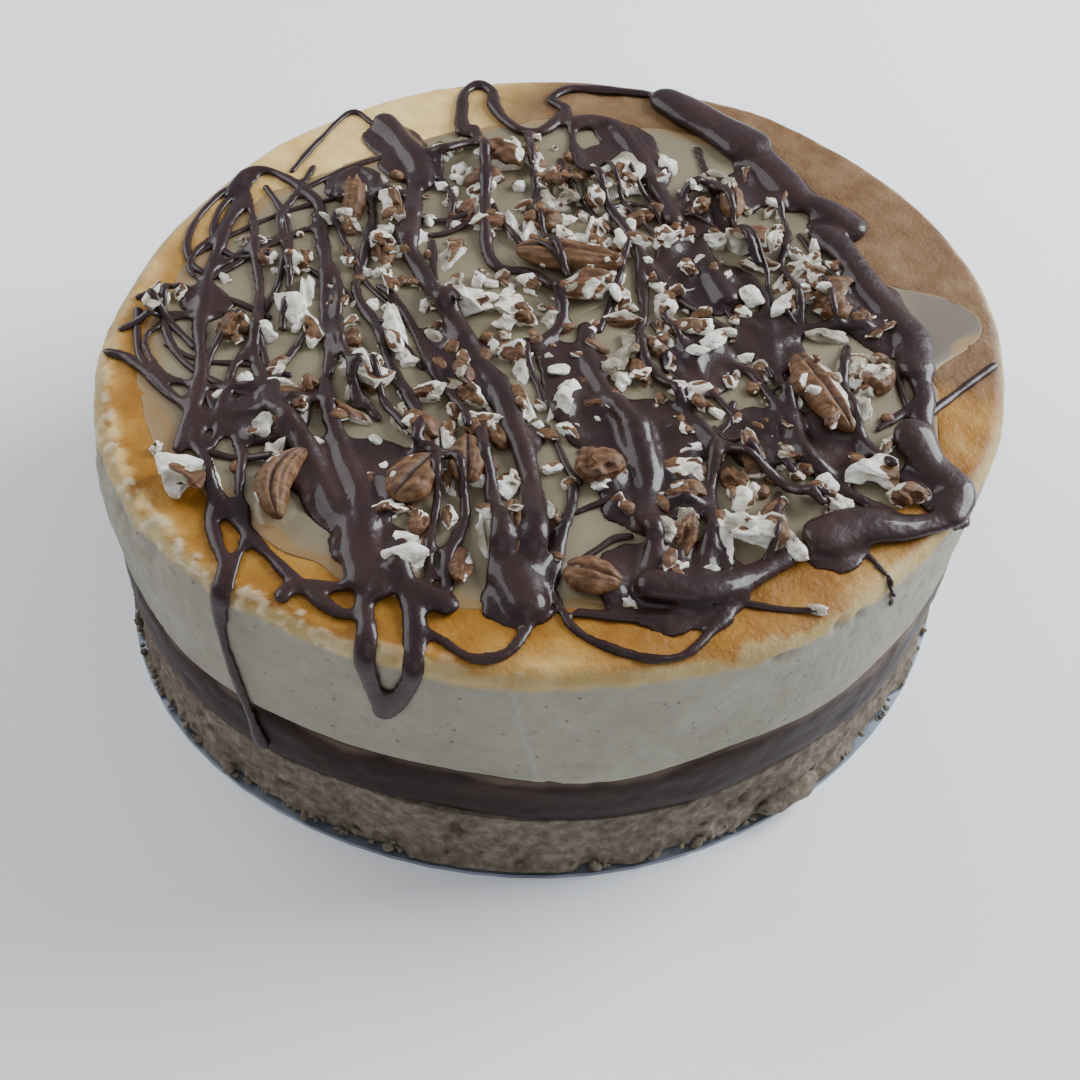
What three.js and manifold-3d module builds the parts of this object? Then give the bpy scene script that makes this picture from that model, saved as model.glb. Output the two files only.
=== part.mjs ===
// Round baked cheesecake on the thin metal base of its springform tin: a biscuit base, a dark chocolate
// layer, a deep pale filling with a browned top, a caramel pool, chopped and whole pecans, chocolate drizzle.
// Millimetres. The origin is the centre of the tin base's underside, +Z up, -Y is the front of the cake.
import * as THREE from 'three';
import { mergeVertices } from 'three/addons/utils/BufferGeometryUtils.js';
import Module from 'manifold-3d';

const wasm = await Module();
wasm.setup();

// Driving dimensions
const CAKE_R = 100;
const TOP_Z = 72.3;
const TIN_R = 101.4;
const TIN_T = 1.2;
const BISCUIT_TOP = 21.2;
const CHOCOLATE_TOP = 37.2;
const GAP = 0.3;
const SEAM_GAP = 0.45;
const RIM_ROUND = 3.2;
const RIM_WIDTH = 7;
const POOL_FLOOR = 70.6;
const POOL_TOP = 72.7;
const NUT_COUNT = 46;
const CRUMB_COUNT = 20;
const WALL_SEGMENTS = 70;

const TAU = Math.PI * 2;
const { sin, cos, exp, hypot, atan2, max, min, sqrt } = Math;

// A repeatable stream of numbers from 0 to 1.
function stream(seed) {
  let state = seed >>> 0;
  return () => {
    state = (state + 0x6d2b79f5) >>> 0;
    let t = state;
    t = Math.imul(t ^ (t >>> 15), t | 1);
    t ^= t + Math.imul(t ^ (t >>> 7), t | 61);
    return ((t ^ (t >>> 14)) >>> 0) / 4294967296;
  };
}

// The cake is a little out of round.
function outline(a) {
  const low = 1.009 - 0.003 * cos(a) + 0.0066 * sin(a) - 0.0022 * cos(2 * a) + 0.0385 * sin(2 * a);
  const mid = 0.0033 * cos(3 * a) - 0.0067 * sin(3 * a) - 0.0057 * cos(4 * a) + 0.0056 * sin(4 * a);
  return low + mid + 0.0023 * cos(5 * a) - 0.0046 * sin(5 * a);
}

// Slow unevenness around the wall, and the bulge of its left side.
function wallWave(a, z) {
  const slow = 0.35 * sin(5 * a + 0.7) + 0.25 * sin(9 * a + z * 0.06) + 0.2 * sin(14 * a - z * 0.11);
  const aside = atan2(sin(a - 3.54), cos(a - 3.54));
  const bulge = 2.2 * exp(-((aside / 0.32) ** 2)) * exp(-(((z - 58) / 13) ** 2));
  return slow + bulge;
}

// Height of the two seams in the wall at one angle.
function biscuitSeam(a) {
  return BISCUIT_TOP - 1 + 1.0 * sin(3 * a + 0.4) + 0.7 * sin(7 * a + 2.1) + 0.25 * sin(12 * a);
}
function chocolateSeam(a) {
  return CHOCOLATE_TOP + 1.0 * sin(2 * a + 2.5) + 0.7 * sin(6 * a + 0.6) + 0.3 * sin(11 * a + 1.3);
}

function bare(geometry) {
  const plain = geometry.clone();
  plain.deleteAttribute('normal');
  plain.deleteAttribute('uv');
  return mergeVertices(plain, 1e-4);
}

// Carries every vertex of a geometry through one function of its place.
function carry(geometry, place) {
  const shape = bare(geometry);
  const p = shape.attributes.position;
  const v = new THREE.Vector3();
  for (let i = 0; i < p.count; i += 1) {
    v.fromBufferAttribute(p, i);
    place(v);
    p.setXYZ(i, v.x, v.y, v.z);
  }
  return shape;
}

function solid(geometry) {
  const shape = bare(geometry);
  return new wasm.Manifold(new wasm.Mesh({
    numProp: 3,
    vertProperties: new Float32Array(shape.attributes.position.array),
    triVerts: new Uint32Array(shape.index.array),
  }));
}

// The largest body of a joined solid: loose scraps and sealed hollows are dropped.
function largest(manifold) {
  const mesh = manifold.getMesh();
  const tri = mesh.triVerts;
  const n = mesh.vertProperties.length / mesh.numProp;
  const at = (i) => mesh.vertProperties.subarray(i * mesh.numProp, i * mesh.numProp + 3);
  const parent = Int32Array.from({ length: n }, (_, i) => i);
  const find = (i) => {
    let k = i;
    while (parent[k] !== k) {
      parent[k] = parent[parent[k]];
      k = parent[k];
    }
    return k;
  };
  for (let t = 0; t < tri.length; t += 3) {
    parent[find(tri[t])] = find(tri[t + 1]);
    parent[find(tri[t + 1])] = find(tri[t + 2]);
  }
  const size = new Map();
  for (let t = 0; t < tri.length; t += 3) {
    const [a, b, c] = [at(tri[t]), at(tri[t + 1]), at(tri[t + 2])];
    const part = a[0] * (b[1] * c[2] - b[2] * c[1]) - a[1] * (b[0] * c[2] - b[2] * c[0])
      + a[2] * (b[0] * c[1] - b[1] * c[0]);
    const root = find(tri[t]);
    size.set(root, (size.get(root) ?? 0) + part);
  }
  const keep = [...size.entries()].sort((p, q) => q[1] - p[1])[0][0];
  const index = [];
  for (let t = 0; t < tri.length; t += 3) {
    if (find(tri[t]) === keep) index.push(tri[t], tri[t + 1], tri[t + 2]);
  }
  const geometry = new THREE.BufferGeometry();
  const positions = new Float32Array(n * 3);
  for (let i = 0; i < n; i += 1) positions.set(at(i), i * 3);
  geometry.setAttribute('position', new THREE.BufferAttribute(positions, 3));
  geometry.setIndex(index);
  return geometry;
}

// A closed round body from rows of [radius, height], with height along Z.
function turned(rows) {
  const profile = rows.map(([r, z]) => new THREE.Vector2(r, z));
  return new THREE.LatheGeometry(profile, WALL_SEGMENTS).rotateX(Math.PI / 2);
}

// The disc of the tin with a low rolled edge.
function tinBase() {
  const rows = [[0, 0], [TIN_R, 0], [TIN_R, TIN_T], [0, TIN_T]];
  return carry(turned(rows), (v) => {
    const k = outline(atan2(v.y, v.x));
    v.set(v.x * k, v.y * k, v.z);
  });
}

// Rough broken wall of the biscuit base: a sum of waves that never line up.
function crumble(a, z) {
  const coarse = sin(17 * a + z * 0.5) * sin(23 * a - z * 0.7 + 1.1);
  const fine = sin(41 * a + z * 1.3 + 0.4) * sin(53 * a - z * 0.9);
  return 0.9 * coarse + 0.6 * fine;
}

// One loose lump at the foot of the wall.
function crumb(a, r, z, size, turn) {
  const g = new THREE.IcosahedronGeometry(size).scale(1.25, 1, 0.8).rotateZ(turn);
  return g.translate(r * outline(a) * cos(a), r * outline(a) * sin(a), z);
}

function biscuitBase() {
  const low = TIN_T + 0.3;
  const rows = [[0, 0], [0.99, 0], [1.006, 0.14], [0.99, 0.4], [0.992, 0.75], [0.988, 1], [0.85, 1], [0, 1]];
  const wall = carry(turned(rows), (v) => {
    const a = atan2(v.y, v.x);
    const r = hypot(v.x, v.y);
    const high = r > 0.9 ? biscuitSeam(a) : BISCUIT_TOP - 1;
    const rough = r > 0.9 ? crumble(a, v.z * 20) * (v.z > 0.95 ? 0.4 : 1) : 0;
    const far = r * CAKE_R * outline(a) + rough;
    v.set(far * cos(a), far * sin(a), low + v.z * (high - low));
  });
  let body = solid(wall);
  const draw = stream(11);
  for (let i = 0; i < CRUMB_COUNT; i += 1) {
    const a = (TAU * (i + draw() * 0.8)) / CRUMB_COUNT;
    const size = 1.2 + 1.3 * draw();
    body = body.add(solid(crumb(a, CAKE_R + 0.2 - 0.5 * size, low + 0.75 * size, size, a + draw())));
  }
  const lump = crumb(-0.9, CAKE_R - 0.6, low + 3.6, 4.4, -0.2);
  return largest(body.add(solid(lump)));
}

// Smooth dark layer with an uneven edge above and below.
function chocolateLayer(grow = 0) {
  const rows = [[0, 0], [0.85, 0], [0.988, 0], [1.001, 0.25], [1.001, 0.75], [0.988, 1], [0.85, 1], [0, 1]];
  return carry(turned(rows), (v) => {
    const a = atan2(v.y, v.x);
    const r = hypot(v.x, v.y);
    const low = (r > 0.9 ? biscuitSeam(a) : BISCUIT_TOP - 1) + SEAM_GAP;
    const high = r > 0.9 ? chocolateSeam(a) : CHOCOLATE_TOP;
    const far = r * CAKE_R * outline(a) + (r > 0.9 ? wallWave(a, 25) * 0.7 + grow : 0);
    v.set(far * cos(a), far * sin(a), low + v.z * (high - low));
  });
}

// Small tears under the browned edge, as [angle, height, depth, width].
const TEARS = [[-0.92, 68.6, 1.6, 0.022], [-1.06, 67.4, 1.4, 0.03], [-0.86, 67.8, 1.0, 0.018],
  [-2.62, 66, 1.3, 0.06], [-2.5, 64, 1.1, 0.05], [-2.42, 61, 0.8, 0.04]];

// Height of the bare top: flat inside, a slightly higher browned rim, rounded off at the wall.
function bareTop(x, y, grow = 0) {
  const a = atan2(y, x);
  const inward = CAKE_R * outline(a) - hypot(x, y);
  const swell = 0.25 * sin(4 * a + 1) + 0.2 * sin(7 * a);
  const rim = swell * exp(-((inward / 12) ** 2));
  const fall = inward < RIM_ROUND ? RIM_ROUND * (1 - sqrt(max(0, 1 - ((RIM_ROUND - inward) / RIM_ROUND) ** 2))) : 0;
  return TOP_Z + rim - fall + grow;
}

function fillingBody(grow) {
  const e = RIM_ROUND / CAKE_R;
  const rows = [[0, 0], [0.85, 0], [0.99, 0], [1, 0.06], [1, 0.45], [1, 0.8], [1, 0.9], [1 - 0.13 * e, 1],
    [1 - 0.5 * e, 1], [1 - e, 1], [1 - RIM_WIDTH / CAKE_R, 1], [0, 1]];
  return carry(turned(rows), (v) => {
    const a = atan2(v.y, v.x);
    const r = hypot(v.x, v.y);
    const low = (r > 0.9 ? chocolateSeam(a) : CHOCOLATE_TOP) + SEAM_GAP;
    const at = CAKE_R * outline(a) * r;
    const high = bareTop(at * cos(a), at * sin(a));
    const side = high - RIM_ROUND * 0.95;
    const z = v.z > 0.99 ? high + grow : low + (v.z / 0.9) * (side - low) - (v.z < 0.01 ? grow : 0);
    let far = at + (r > 0.9 ? wallWave(a, z) * (v.z > 0.99 ? 0.6 : 1) + grow : 0);
    for (const [angle, height, depth, width] of TEARS) {
      const gap = atan2(sin(a - angle), cos(a - angle)) / width;
      if (r > 0.99) far -= depth * exp(-(gap ** 2)) * exp(-(((z - height) / 2.5) ** 2));
    }
    v.set(far * cos(a), far * sin(a), z);
  });
}

// Edge of the caramel pool, clockwise from the left, with the tab that ran out to the right.
const POOL_EDGE = [[-90, -28], [-86, -40], [-78, -52], [-64, -64], [-50, -74], [-35, -80], [-16, -84], [2, -83],
  [20, -80], [35, -74], [46, -66], [60, -57], [77, -42], [82, -22], [83, -2], [95, 8], [96, 19], [84, 22],
  [72, 24], [68, 35], [60, 50], [50, 65], [38, 77], [16, 80], [0, 82], [-20, 76], [-38, 67], [-50, 58],
  [-62, 49], [-75, 36], [-83, 22], [-88, 6], [-91, -12]];

function poolSlab(grow, low, high) {
  const points = POOL_EDGE.map(([x, y]) => {
    const k = 1 + grow / hypot(x, y);
    return new THREE.Vector3(x * k, y * k, 0);
  });
  const line = new THREE.CatmullRomCurve3(points, true, 'centripetal').getPoints(48).slice(0, -1);
  const shape = new THREE.Shape(line.map((p) => new THREE.Vector2(p.x, p.y)));
  return new THREE.ExtrudeGeometry(shape, { depth: high - low, bevelEnabled: false }).translate(0, 0, low);
}

function insidePool(x, y) {
  let inside = false;
  for (let i = 0, j = POOL_EDGE.length - 1; i < POOL_EDGE.length; j = i, i += 1) {
    const [ax, ay] = POOL_EDGE[i];
    const [bx, by] = POOL_EDGE[j];
    if (ay > y !== by > y && x < ((bx - ax) * (y - ay)) / (by - ay) + ax) inside = !inside;
  }
  return inside;
}

// Large pecan pieces: [x, y, length, width, height, turn in degrees, lift, whole half or broken chunk].
const PECANS = [
  [0, 20, 26, 9.5, 6.5, -3, 0.2, 'half'],
  [-53, -60, 19, 8.5, 7, 84, 0.2, 'half'],
  [57, -19, 25, 9, 6.5, -64, 0.4, 'half'],
  [-27, -55, 14, 10, 6, 62, 0.2, 'half'],
  [-17, -48.5, 13, 7.5, 5.5, 96, 0.4, 'half'],
  [-6, -66, 15, 7, 5.5, 96, 0.1, 'half'],
  [10, -76, 11.5, 8.5, 5.5, -12, 0, 'half'],
  [10, -46.5, 9.5, 8, 5, 35, 0, 'chunk'],
  [38, 47, 13, 6, 6, 94, 0.6, 'half'],
  [61, 12, 11, 9, 5.5, 70, 0.2, 'chunk'],
  [-74, -60, 13, 9, 6, -18, 0, 'chunk'],
  [9, 52, 13, 10, 7, 60, 0, 'chunk'],
  [-20, 58, 12, 9.5, 6.5, -10, 0, 'chunk'],
  [4, 9.5, 13, 8, 6, 20, 0.3, 'chunk'],
  [-22, 1, 12, 9.5, 6, -40, 0, 'chunk'],
  [43, 32, 12, 9, 6, 10, 0, 'chunk'],
  [-44.5, 33.5, 14, 5.5, 5.5, -72, 0.2, 'chunk'],
  [42, -62, 13, 7.5, 6, 4, 0.2, 'chunk'],
  [-41, -24, 11, 8, 5.5, -35, 0, 'chunk'],
  [66, -41, 11, 7, 5, 2, 0, 'chunk'],
  [-91.5, -7.5, 10, 5, 4.5, 80, 0, 'chunk'],
];

function pecanSeat([x, y, , , height, , lift, kind]) {
  const floor = insidePool(x, y) ? POOL_TOP : TOP_Z + 0.3;
  return floor + GAP + 0.05 + height * (kind === 'half' ? 0.375 : 0.5) + lift;
}

// Top of whichever large piece lies under a point, or 0.
function pecanTop(x, y) {
  let high = 0;
  for (const piece of PECANS) {
    const [px, py, length, width, height, turn] = piece;
    const t = (turn * Math.PI) / 180;
    const u = ((x - px) * cos(t) + (y - py) * sin(t)) / (length / 2 + 1);
    const w = (-(x - px) * sin(t) + (y - py) * cos(t)) / (width / 2 + 1);
    const d = u * u + w * w;
    if (d < 1) high = max(high, pecanSeat(piece) + (height / 2) * sqrt(1 - d) + 0.4);
  }
  return high;
}

// A pecan half is an oval dome with a lengthwise groove and lobes; a chunk is a broken lump of one.
function pecan(piece, index, grow) {
  const [x, y, length, width, height, turn, , kind] = piece;
  const draw = stream(100 + index);
  const cuts = Array.from({ length: 5 }, () => [draw() * TAU, draw() * 2 - 1, 0.62 + 0.2 * draw()]);
  const base = kind === 'half' ? new THREE.SphereGeometry(1, 12, 6).rotateZ(Math.PI / 2)
    : new THREE.IcosahedronGeometry(1, 1);
  const shape = carry(base, (v) => {
    if (kind === 'half') {
      const groove = 1 - 0.3 * exp(-((v.y / 0.2) ** 2)) * (v.z > 0 ? 1 : 0.5) * (1 - v.x * v.x);
      const lobes = 1 + 0.05 * cos(9 * v.x + 3 * v.y);
      const flat = v.z < 0 ? 0.75 : 1;
      v.set(v.x, v.y * lobes * (1 - 0.12 * v.x), v.z * groove * flat * lobes);
    } else {
      for (const [angle, tilt, depth] of cuts) {
        const n = new THREE.Vector3(cos(angle), sin(angle), tilt).normalize();
        const over = v.dot(n) - depth;
        if (over > 0) v.addScaledVector(n, -over);
      }
    }
    v.set(v.x * (length / 2 + grow), v.y * (width / 2 + grow), v.z * (height / 2 + grow));
  });
  return shape.rotateZ((turn * Math.PI) / 180).translate(x, y, pecanSeat(piece));
}

// Chocolate strokes lying on the top: [radius at the start, radius at the end, then points x, y].
const STROKES = [
  [2.6, 1.6, -79, 47, -82, 39, -81, 28, -83, 12, -81.5, -5, -78, -20, -76, -34, -72, -49, -62, -64, -51, -77, -47, -83],
  [1.7, 2, -73, 45, -65, 40, -63, 30, -68, 16, -71, 4, -67, -10, -70, -24, -69, -38, -62, -53, -58, -68],
  [3.2, 2.2, -84, 2, -82, -8, -76, -16, -69, -15],
  [1.5, 2, -90, -26, -76, -36, -62, -36, -50, -33],
  [2, 1.4, -58, 40, -58, 50, -53, 51, -49, 42, -48, 24, -47, 6, -42, -10, -35, -24, -29, -38],
  [1.7, 1.7, -62, 30, -58, 16, -55, 0, -51, -18, -47, -33],
  [2, 3, -47, -33, -43, -48, -37, -62, -33, -74, -31, -80],
  [4.6, 3.6, -51, 71, -45, 63, -40, 54, -38, 46],
  [3.4, 1.6, -38, 46, -38, 28, -34, 12, -26, -4, -19, -16, -13, -28, -5, -40, -3, -52],
  [2.4, 1.6, -31, 68, -33, 84, -30, 94, -25, 90, -19, 79, -11, 76, -5, 66],
  [1.8, 1.6, -29, 70, -28, 52, -27, 36, -21, 22, -13, 14, -9, 2, 0, -4],
  [2.2, 2.2, -14, 77, -11, 87, -5, 97, 5, 98.5, 17, 98],
  [2, 1.5, -7, 92, -6, 78, -6, 62, 1, 50, 9, 40, 16, 26, 18, 10, 21, -8, 26, -22, 34, -33, 44, -42, 55, -51],
  [2.2, 2.6, -1, 78, 6, 83, 16, 84],
  [3.2, 2.2, 9, 80, 15, 66, 20, 54, 23, 45],
  [5, 7.4, 22, 98, 30, 89, 40, 80, 46, 72],
  [7, 3.4, 46, 72, 50, 62, 58, 50, 65, 43],
  [3, 3.2, 65, 43, 69, 30, 71, 20, 79, 10, 82, 0, 80, -14, 79, -28],
  [2, 1.8, 60, 52, 68, 51, 71, 47],
  [1.8, 1.6, 26, 43, 28, 53, 33, 54, 36, 46],
  [3.6, 4.6, 31, 34, 33, 22, 37, 12],
  [1.7, 1.8, 44, 18, 45, 2, 50, -14, 56, -31, 61, -44],
  [1.6, 1.7, 41, -9, 47, -22, 54, -37, 60, -45, 70, -50],
  [4.4, 5, 5, -2, 6, -12, 12, -26, 17, -34],
  [3.4, 2.2, 17, -34, 20, -47, 20, -58, 22, -66, 20, -77],
  [2, 2, 34, -38, 33, -50, 33, -62, 31, -74],
  [3.4, 1.6, -5, -34, -3, -42, 2, -50, 5, -60, 2, -78],
  [1.5, 1.9, -24.5, -44, -22, -58, -20, -70, -19, -80],
  [1.5, 1.9, -20, -46, -16.5, -58, -16.5, -70, -17, -84],
  [1.7, 2.6, -14, -37, -11.5, -52, -9, -66, -6, -76],
  [5, 5, -5, -76, -2, -83],
  [3, 2.8, -31, -80, -24, -82, -17, -85],
  [2.6, 1.7, -48, -83, -40, -84.5, -34, -84, -31, -80],
  [1.6, 1.5, -1, -88, -5, -95, -11, -96.5, -17, -89],
  [4, 2.8, 22, -77, 30, -77, 38, -73, 48, -65],
  [5.4, 3, 56, -59, 62, -55.5, 72, -54, 80, -51],
  [3.4, 5.6, 82, -49, 84, -42, 79, -36, 76, -30],
  [1.5, 1.5, 3, -80, 8, -88, 20, -92.5, 28, -91, 35, -82, 40, -76],
  [5.4, 4.6, -41, -47, -38, -57],
];

// Strokes that run over the edge and down the wall: [radius, then angle in degrees and height pairs].
const WALL_STROKES = [
  [1.6, 1.3, 234, 73.8, 234.1, 71.4, 234.3, 66, 234.8, 56, 235.9, 44, 237, 33.5, 237.9, 25],
  [2.3, 2.3, 252.6, 73, 253.9, 66, 254.7, 58.5, 256.2, 56.2, 257.6, 60, 258.8, 66, 259.4, 73],
];

// Short strokes from the pool to the two runs on the wall.
const RIM_STROKES = [
  [2.6, 2.3, -31, -80, -30, -88, -28.8, -94],
  [1.6, 1.6, -59, -64, -59.5, -74, -59, -81.5],
  [2.6, 2.3, -17, -84, -18, -90, -18.2, -97],
];

function onTop(x, y, r) {
  const floor = insidePool(x, y) ? POOL_TOP : bareTop(x, y) + GAP;
  const ride = hypot(x, y) < 66 ? 0.5 + 0.5 * sin(0.21 * x + 0.13 * y) : 0;
  return new THREE.Vector3(x, y, max(floor + 0.4 * r + ride, pecanTop(x, y) + 0.5 * r));
}

function onWall(degrees, z, r) {
  const a = (degrees * Math.PI) / 180;
  const top = TOP_Z - RIM_ROUND;
  const inward = z > top ? (z - top) * 0.9 : 0;
  const far = CAKE_R * outline(a) + wallWave(a, min(z, 68)) + GAP + 0.45 * r - inward;
  return new THREE.Vector3(far * cos(a), far * sin(a), z);
}

// A round rod bent along a line, thick and thin by turns, its up side facing away from the cake.
function strand(points, start, end, sides, phase) {
  const curve = new THREE.CatmullRomCurve3(points, false, 'centripetal');
  const steps = (points.length - 1) * (points.length < 4 ? 2 : 1);
  const length = curve.getLength();
  const rod = new THREE.CylinderGeometry(1, 1, 1, sides, steps);
  return carry(rod, (v) => {
    const t = v.y + 0.5;
    const p = curve.getPoint(t);
    const along = curve.getTangent(t);
    const out = new THREE.Vector3(p.x, p.y, 0).normalize();
    const lean = min(1, max(0, (TOP_Z - p.z) / 3));
    const up = new THREE.Vector3(0, 0, 1).lerp(out, lean).normalize();
    const side = new THREE.Vector3().crossVectors(along, up).normalize();
    const lift = new THREE.Vector3().crossVectors(side, along).normalize();
    const taper = t < 0.001 || t > 0.999 ? 0.75 : 1;
    const r = (start + (end - start) * t) * taper * (1 + 0.1 * sin(length * t * 0.5 + phase));
    const flat = min(1, 2.6 / r);
    v.copy(p.clone().addScaledVector(side, r * v.x).addScaledVector(lift, r * flat * v.z));
  });
}

function pairs(list) {
  return Array.from({ length: list.length / 2 }, (_, i) => [list[2 * i], list[2 * i + 1]]);
}

function drizzle() {
  const rods = [...STROKES, ...RIM_STROKES].map(([a, b, ...rest], i) => {
    const points = pairs(rest).map(([x, y]) => onTop(x, y, (a + b) / 2));
    return strand(points, a, b, max(a, b) > 4 ? 6 : max(a, b) > 2.4 ? 5 : 4, i);
  });
  const falls = WALL_STROKES.map(([a, b, ...rest], i) => {
    const points = pairs(rest).map(([angle, z]) => onWall(angle, z, (a + b) / 2));
    return strand(points, a, b, 5, i + 0.5);
  });
  return [...rods, ...falls];
}

// Chopped pecan pieces scattered over the pool, thickest around its middle.
function choppedNuts() {
  const draw = stream(5);
  const nuts = [];
  const taken = PECANS.map(([x, y, length, width]) => [x, y, (length + width) / 4]);
  for (let tries = 0; tries < 9000 && nuts.length < NUT_COUNT; tries += 1) {
    const x = -86 + 164 * draw();
    const y = -74 + 148 * draw();
    const size = 2.9 - 1.3 * (nuts.length / NUT_COUNT) + 0.5 * draw();
    const dense = exp(-(((x + 2) / 62) ** 2) - (((y - 4) / 62) ** 2));
    const clear = taken.every(([tx, ty, tr]) => hypot(x - tx, y - ty) > tr + size * 1.15 + 0.8);
    if (insidePool(x * 1.07, y * 1.07) && draw() < dense && clear) {
      taken.push([x, y, size]);
      const long = size * (1.1 + 0.5 * draw());
      const g = new THREE.CylinderGeometry(0.65, 1, 1, 5).rotateX(Math.PI / 2 - 0.5 + draw());
      g.scale(long, size * 0.85, size * (1.3 + 0.4 * draw())).rotateZ(draw() * 3.1);
      nuts.push(g.translate(x, y, POOL_TOP + size * 0.35));
    }
  }
  return nuts;
}

function topping() {
  let body = solid(poolSlab(0, POOL_FLOOR, POOL_TOP));
  for (const piece of [...drizzle(), ...choppedNuts()]) body = body.add(solid(piece));
  const keepOff = solid(fillingBody(GAP)).subtract(solid(poolSlab(0, POOL_FLOOR, 90)));
  body = body.subtract(keepOff).subtract(solid(chocolateLayer(GAP)));
  PECANS.forEach((piece, i) => {
    body = body.subtract(solid(pecan(piece, i, GAP)));
  });
  return largest(body);
}

function filling() {
  const pocket = solid(poolSlab(GAP, POOL_FLOOR - GAP, 90));
  return largest(solid(fillingBody(0)).subtract(pocket));
}

const cake = new THREE.Group();

function add(name, geometry, color, roughness, metalness = 0) {
  const mesh = new THREE.Mesh(geometry, new THREE.MeshStandardMaterial({ color, roughness, metalness }));
  mesh.name = name;
  cake.add(mesh);
}

add('tin_base', tinBase(), '#5f6878', 0.45, 0.8);
add('biscuit_base', biscuitBase(), '#8a7a66', 0.95);
add('chocolate_layer', chocolateLayer(), '#3a2b2a', 0.6);
add('cheesecake_filling', filling(), '#b3ab9c', 0.8);
add('topping', topping(), '#4a3535', 0.35);
PECANS.forEach((piece, i) => {
  add(`pecan_${piece[7]}_${i + 1}`, pecan(piece, i, 0), piece[7] === 'half' ? '#96603c' : '#d8d2c4', 0.6);
});

export default cake;
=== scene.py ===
"""Looks of a round baked cheesecake with caramel, pecans and chocolate drizzle, fitted over its solid model.

Lengths that describe the cake are in millimetres and become metres where a mesh is made. Colours are linear
red, green and blue. Each use of noise or of random numbers has a whole number as its seed, so every run gives
the same shapes."""
import bpy
import numpy as np
from mathutils import Matrix, Vector


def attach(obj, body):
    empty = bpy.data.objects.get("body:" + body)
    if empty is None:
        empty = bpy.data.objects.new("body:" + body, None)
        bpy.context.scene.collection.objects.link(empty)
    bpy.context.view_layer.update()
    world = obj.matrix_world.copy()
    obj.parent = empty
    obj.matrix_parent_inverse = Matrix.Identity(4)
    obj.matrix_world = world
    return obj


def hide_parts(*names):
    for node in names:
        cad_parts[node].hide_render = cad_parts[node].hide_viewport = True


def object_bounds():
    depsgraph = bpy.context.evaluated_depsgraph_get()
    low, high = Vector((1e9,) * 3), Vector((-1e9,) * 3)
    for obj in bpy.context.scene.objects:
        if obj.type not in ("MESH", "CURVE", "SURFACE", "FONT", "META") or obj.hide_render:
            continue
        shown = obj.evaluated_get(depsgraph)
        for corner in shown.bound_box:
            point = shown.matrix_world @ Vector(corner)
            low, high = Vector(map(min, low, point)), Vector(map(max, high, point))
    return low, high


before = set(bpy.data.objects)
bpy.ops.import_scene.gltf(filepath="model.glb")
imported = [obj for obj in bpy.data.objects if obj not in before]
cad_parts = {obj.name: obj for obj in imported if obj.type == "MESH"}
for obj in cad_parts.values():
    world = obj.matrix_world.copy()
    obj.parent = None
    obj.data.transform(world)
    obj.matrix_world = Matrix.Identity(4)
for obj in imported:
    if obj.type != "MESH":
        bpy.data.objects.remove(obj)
cad_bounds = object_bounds()
BOX = np.array([list(v) for v in cad_bounds])

# Driving dimensions, in millimetres
MM = 0.001
CAKE_R = 100.0
TOP_Z = 72.3
TIN_T = 1.2
BISCUIT_TOP = 21.2
CHOCOLATE_TOP = 37.2
GAP = 0.3
RIM_ROUND = 3.2
POOL_FLOOR = 70.6
POOL_TOP = 72.7
# Furthest that the biscuit may reach, as a share of the cake's outline
BISCUIT_LIMIT = 1.0105
# Highest that strokes and puddles may stand, and how far a puddle may rise over the caramel
STROKE_LIMIT = 80.3
PUDDLE_LIMIT = 80.0
PUDDLE_RISE = 1.7
# Cell of the remesh that melts the drizzle together, and how far inside the solid model's box a point is held
VOXEL = 0.78
BOX_MARGIN = 0.02
TAU = 2 * np.pi

# Edge of the caramel pool as x, y, in order round it, with the tab that ran out to the right
POOL_EDGE = np.array([
    (-90, -28), (-86, -40), (-78, -52), (-64, -64), (-50, -74), (-35, -80), (-16, -84), (2, -83),
    (20, -80), (35, -74), (46, -66), (60, -57), (77, -42), (82, -22), (83, -2), (95, 8), (96, 19),
    (84, 22), (72, 24), (68, 35), (60, 50), (50, 65), (38, 77), (16, 80), (0, 82), (-20, 76), (-38, 67),
    (-50, 58), (-62, 49), (-75, 36), (-83, 22), (-88, 6), (-91, -12),
], float)

# Large pecan pieces: x, y, length, width, height, turn in degrees, lift, kind
PECANS = [
    (0, 20, 26, 9.5, 6.5, -3, 0.2, "half"),
    (-53, -60, 19, 8.5, 7, 84, 0.2, "half"),
    (57, -19, 25, 9, 6.5, -64, 0.4, "half"),
    (-27, -55, 14, 10, 6, 62, 0.2, "half"),
    (-17, -48.5, 13, 7.5, 5.5, 96, 0.4, "half"),
    (-6, -66, 15, 7, 5.5, 96, 0.1, "half"),
    (10, -76, 11.5, 8.5, 5.5, -12, 0, "half"),
    (10, -46.5, 9.5, 8, 5, 35, 0, "chunk"),
    (38, 47, 13, 6, 6, 94, 0.6, "half"),
    (61, 12, 11, 9, 5.5, 70, 0.2, "chunk"),
    (-74, -60, 13, 9, 6, -18, 0, "chunk"),
    (9, 52, 13, 10, 7, 60, 0, "chunk"),
    (-20, 58, 12, 9.5, 6.5, -10, 0, "chunk"),
    (4, 9.5, 13, 8, 6, 20, 0.3, "chunk"),
    (-22, 1, 12, 9.5, 6, -40, 0, "chunk"),
    (43, 32, 12, 9, 6, 10, 0, "chunk"),
    (-44.5, 33.5, 14, 5.5, 5.5, -72, 0.2, "chunk"),
    (42, -62, 13, 7.5, 6, 4, 0.2, "chunk"),
    (-41, -24, 11, 8, 5.5, -35, 0, "chunk"),
    (66, -41, 11, 7, 5, 2, 0, "chunk"),
    (-91.5, -7.5, 10, 5, 4.5, 80, 0, "chunk"),
]
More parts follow.
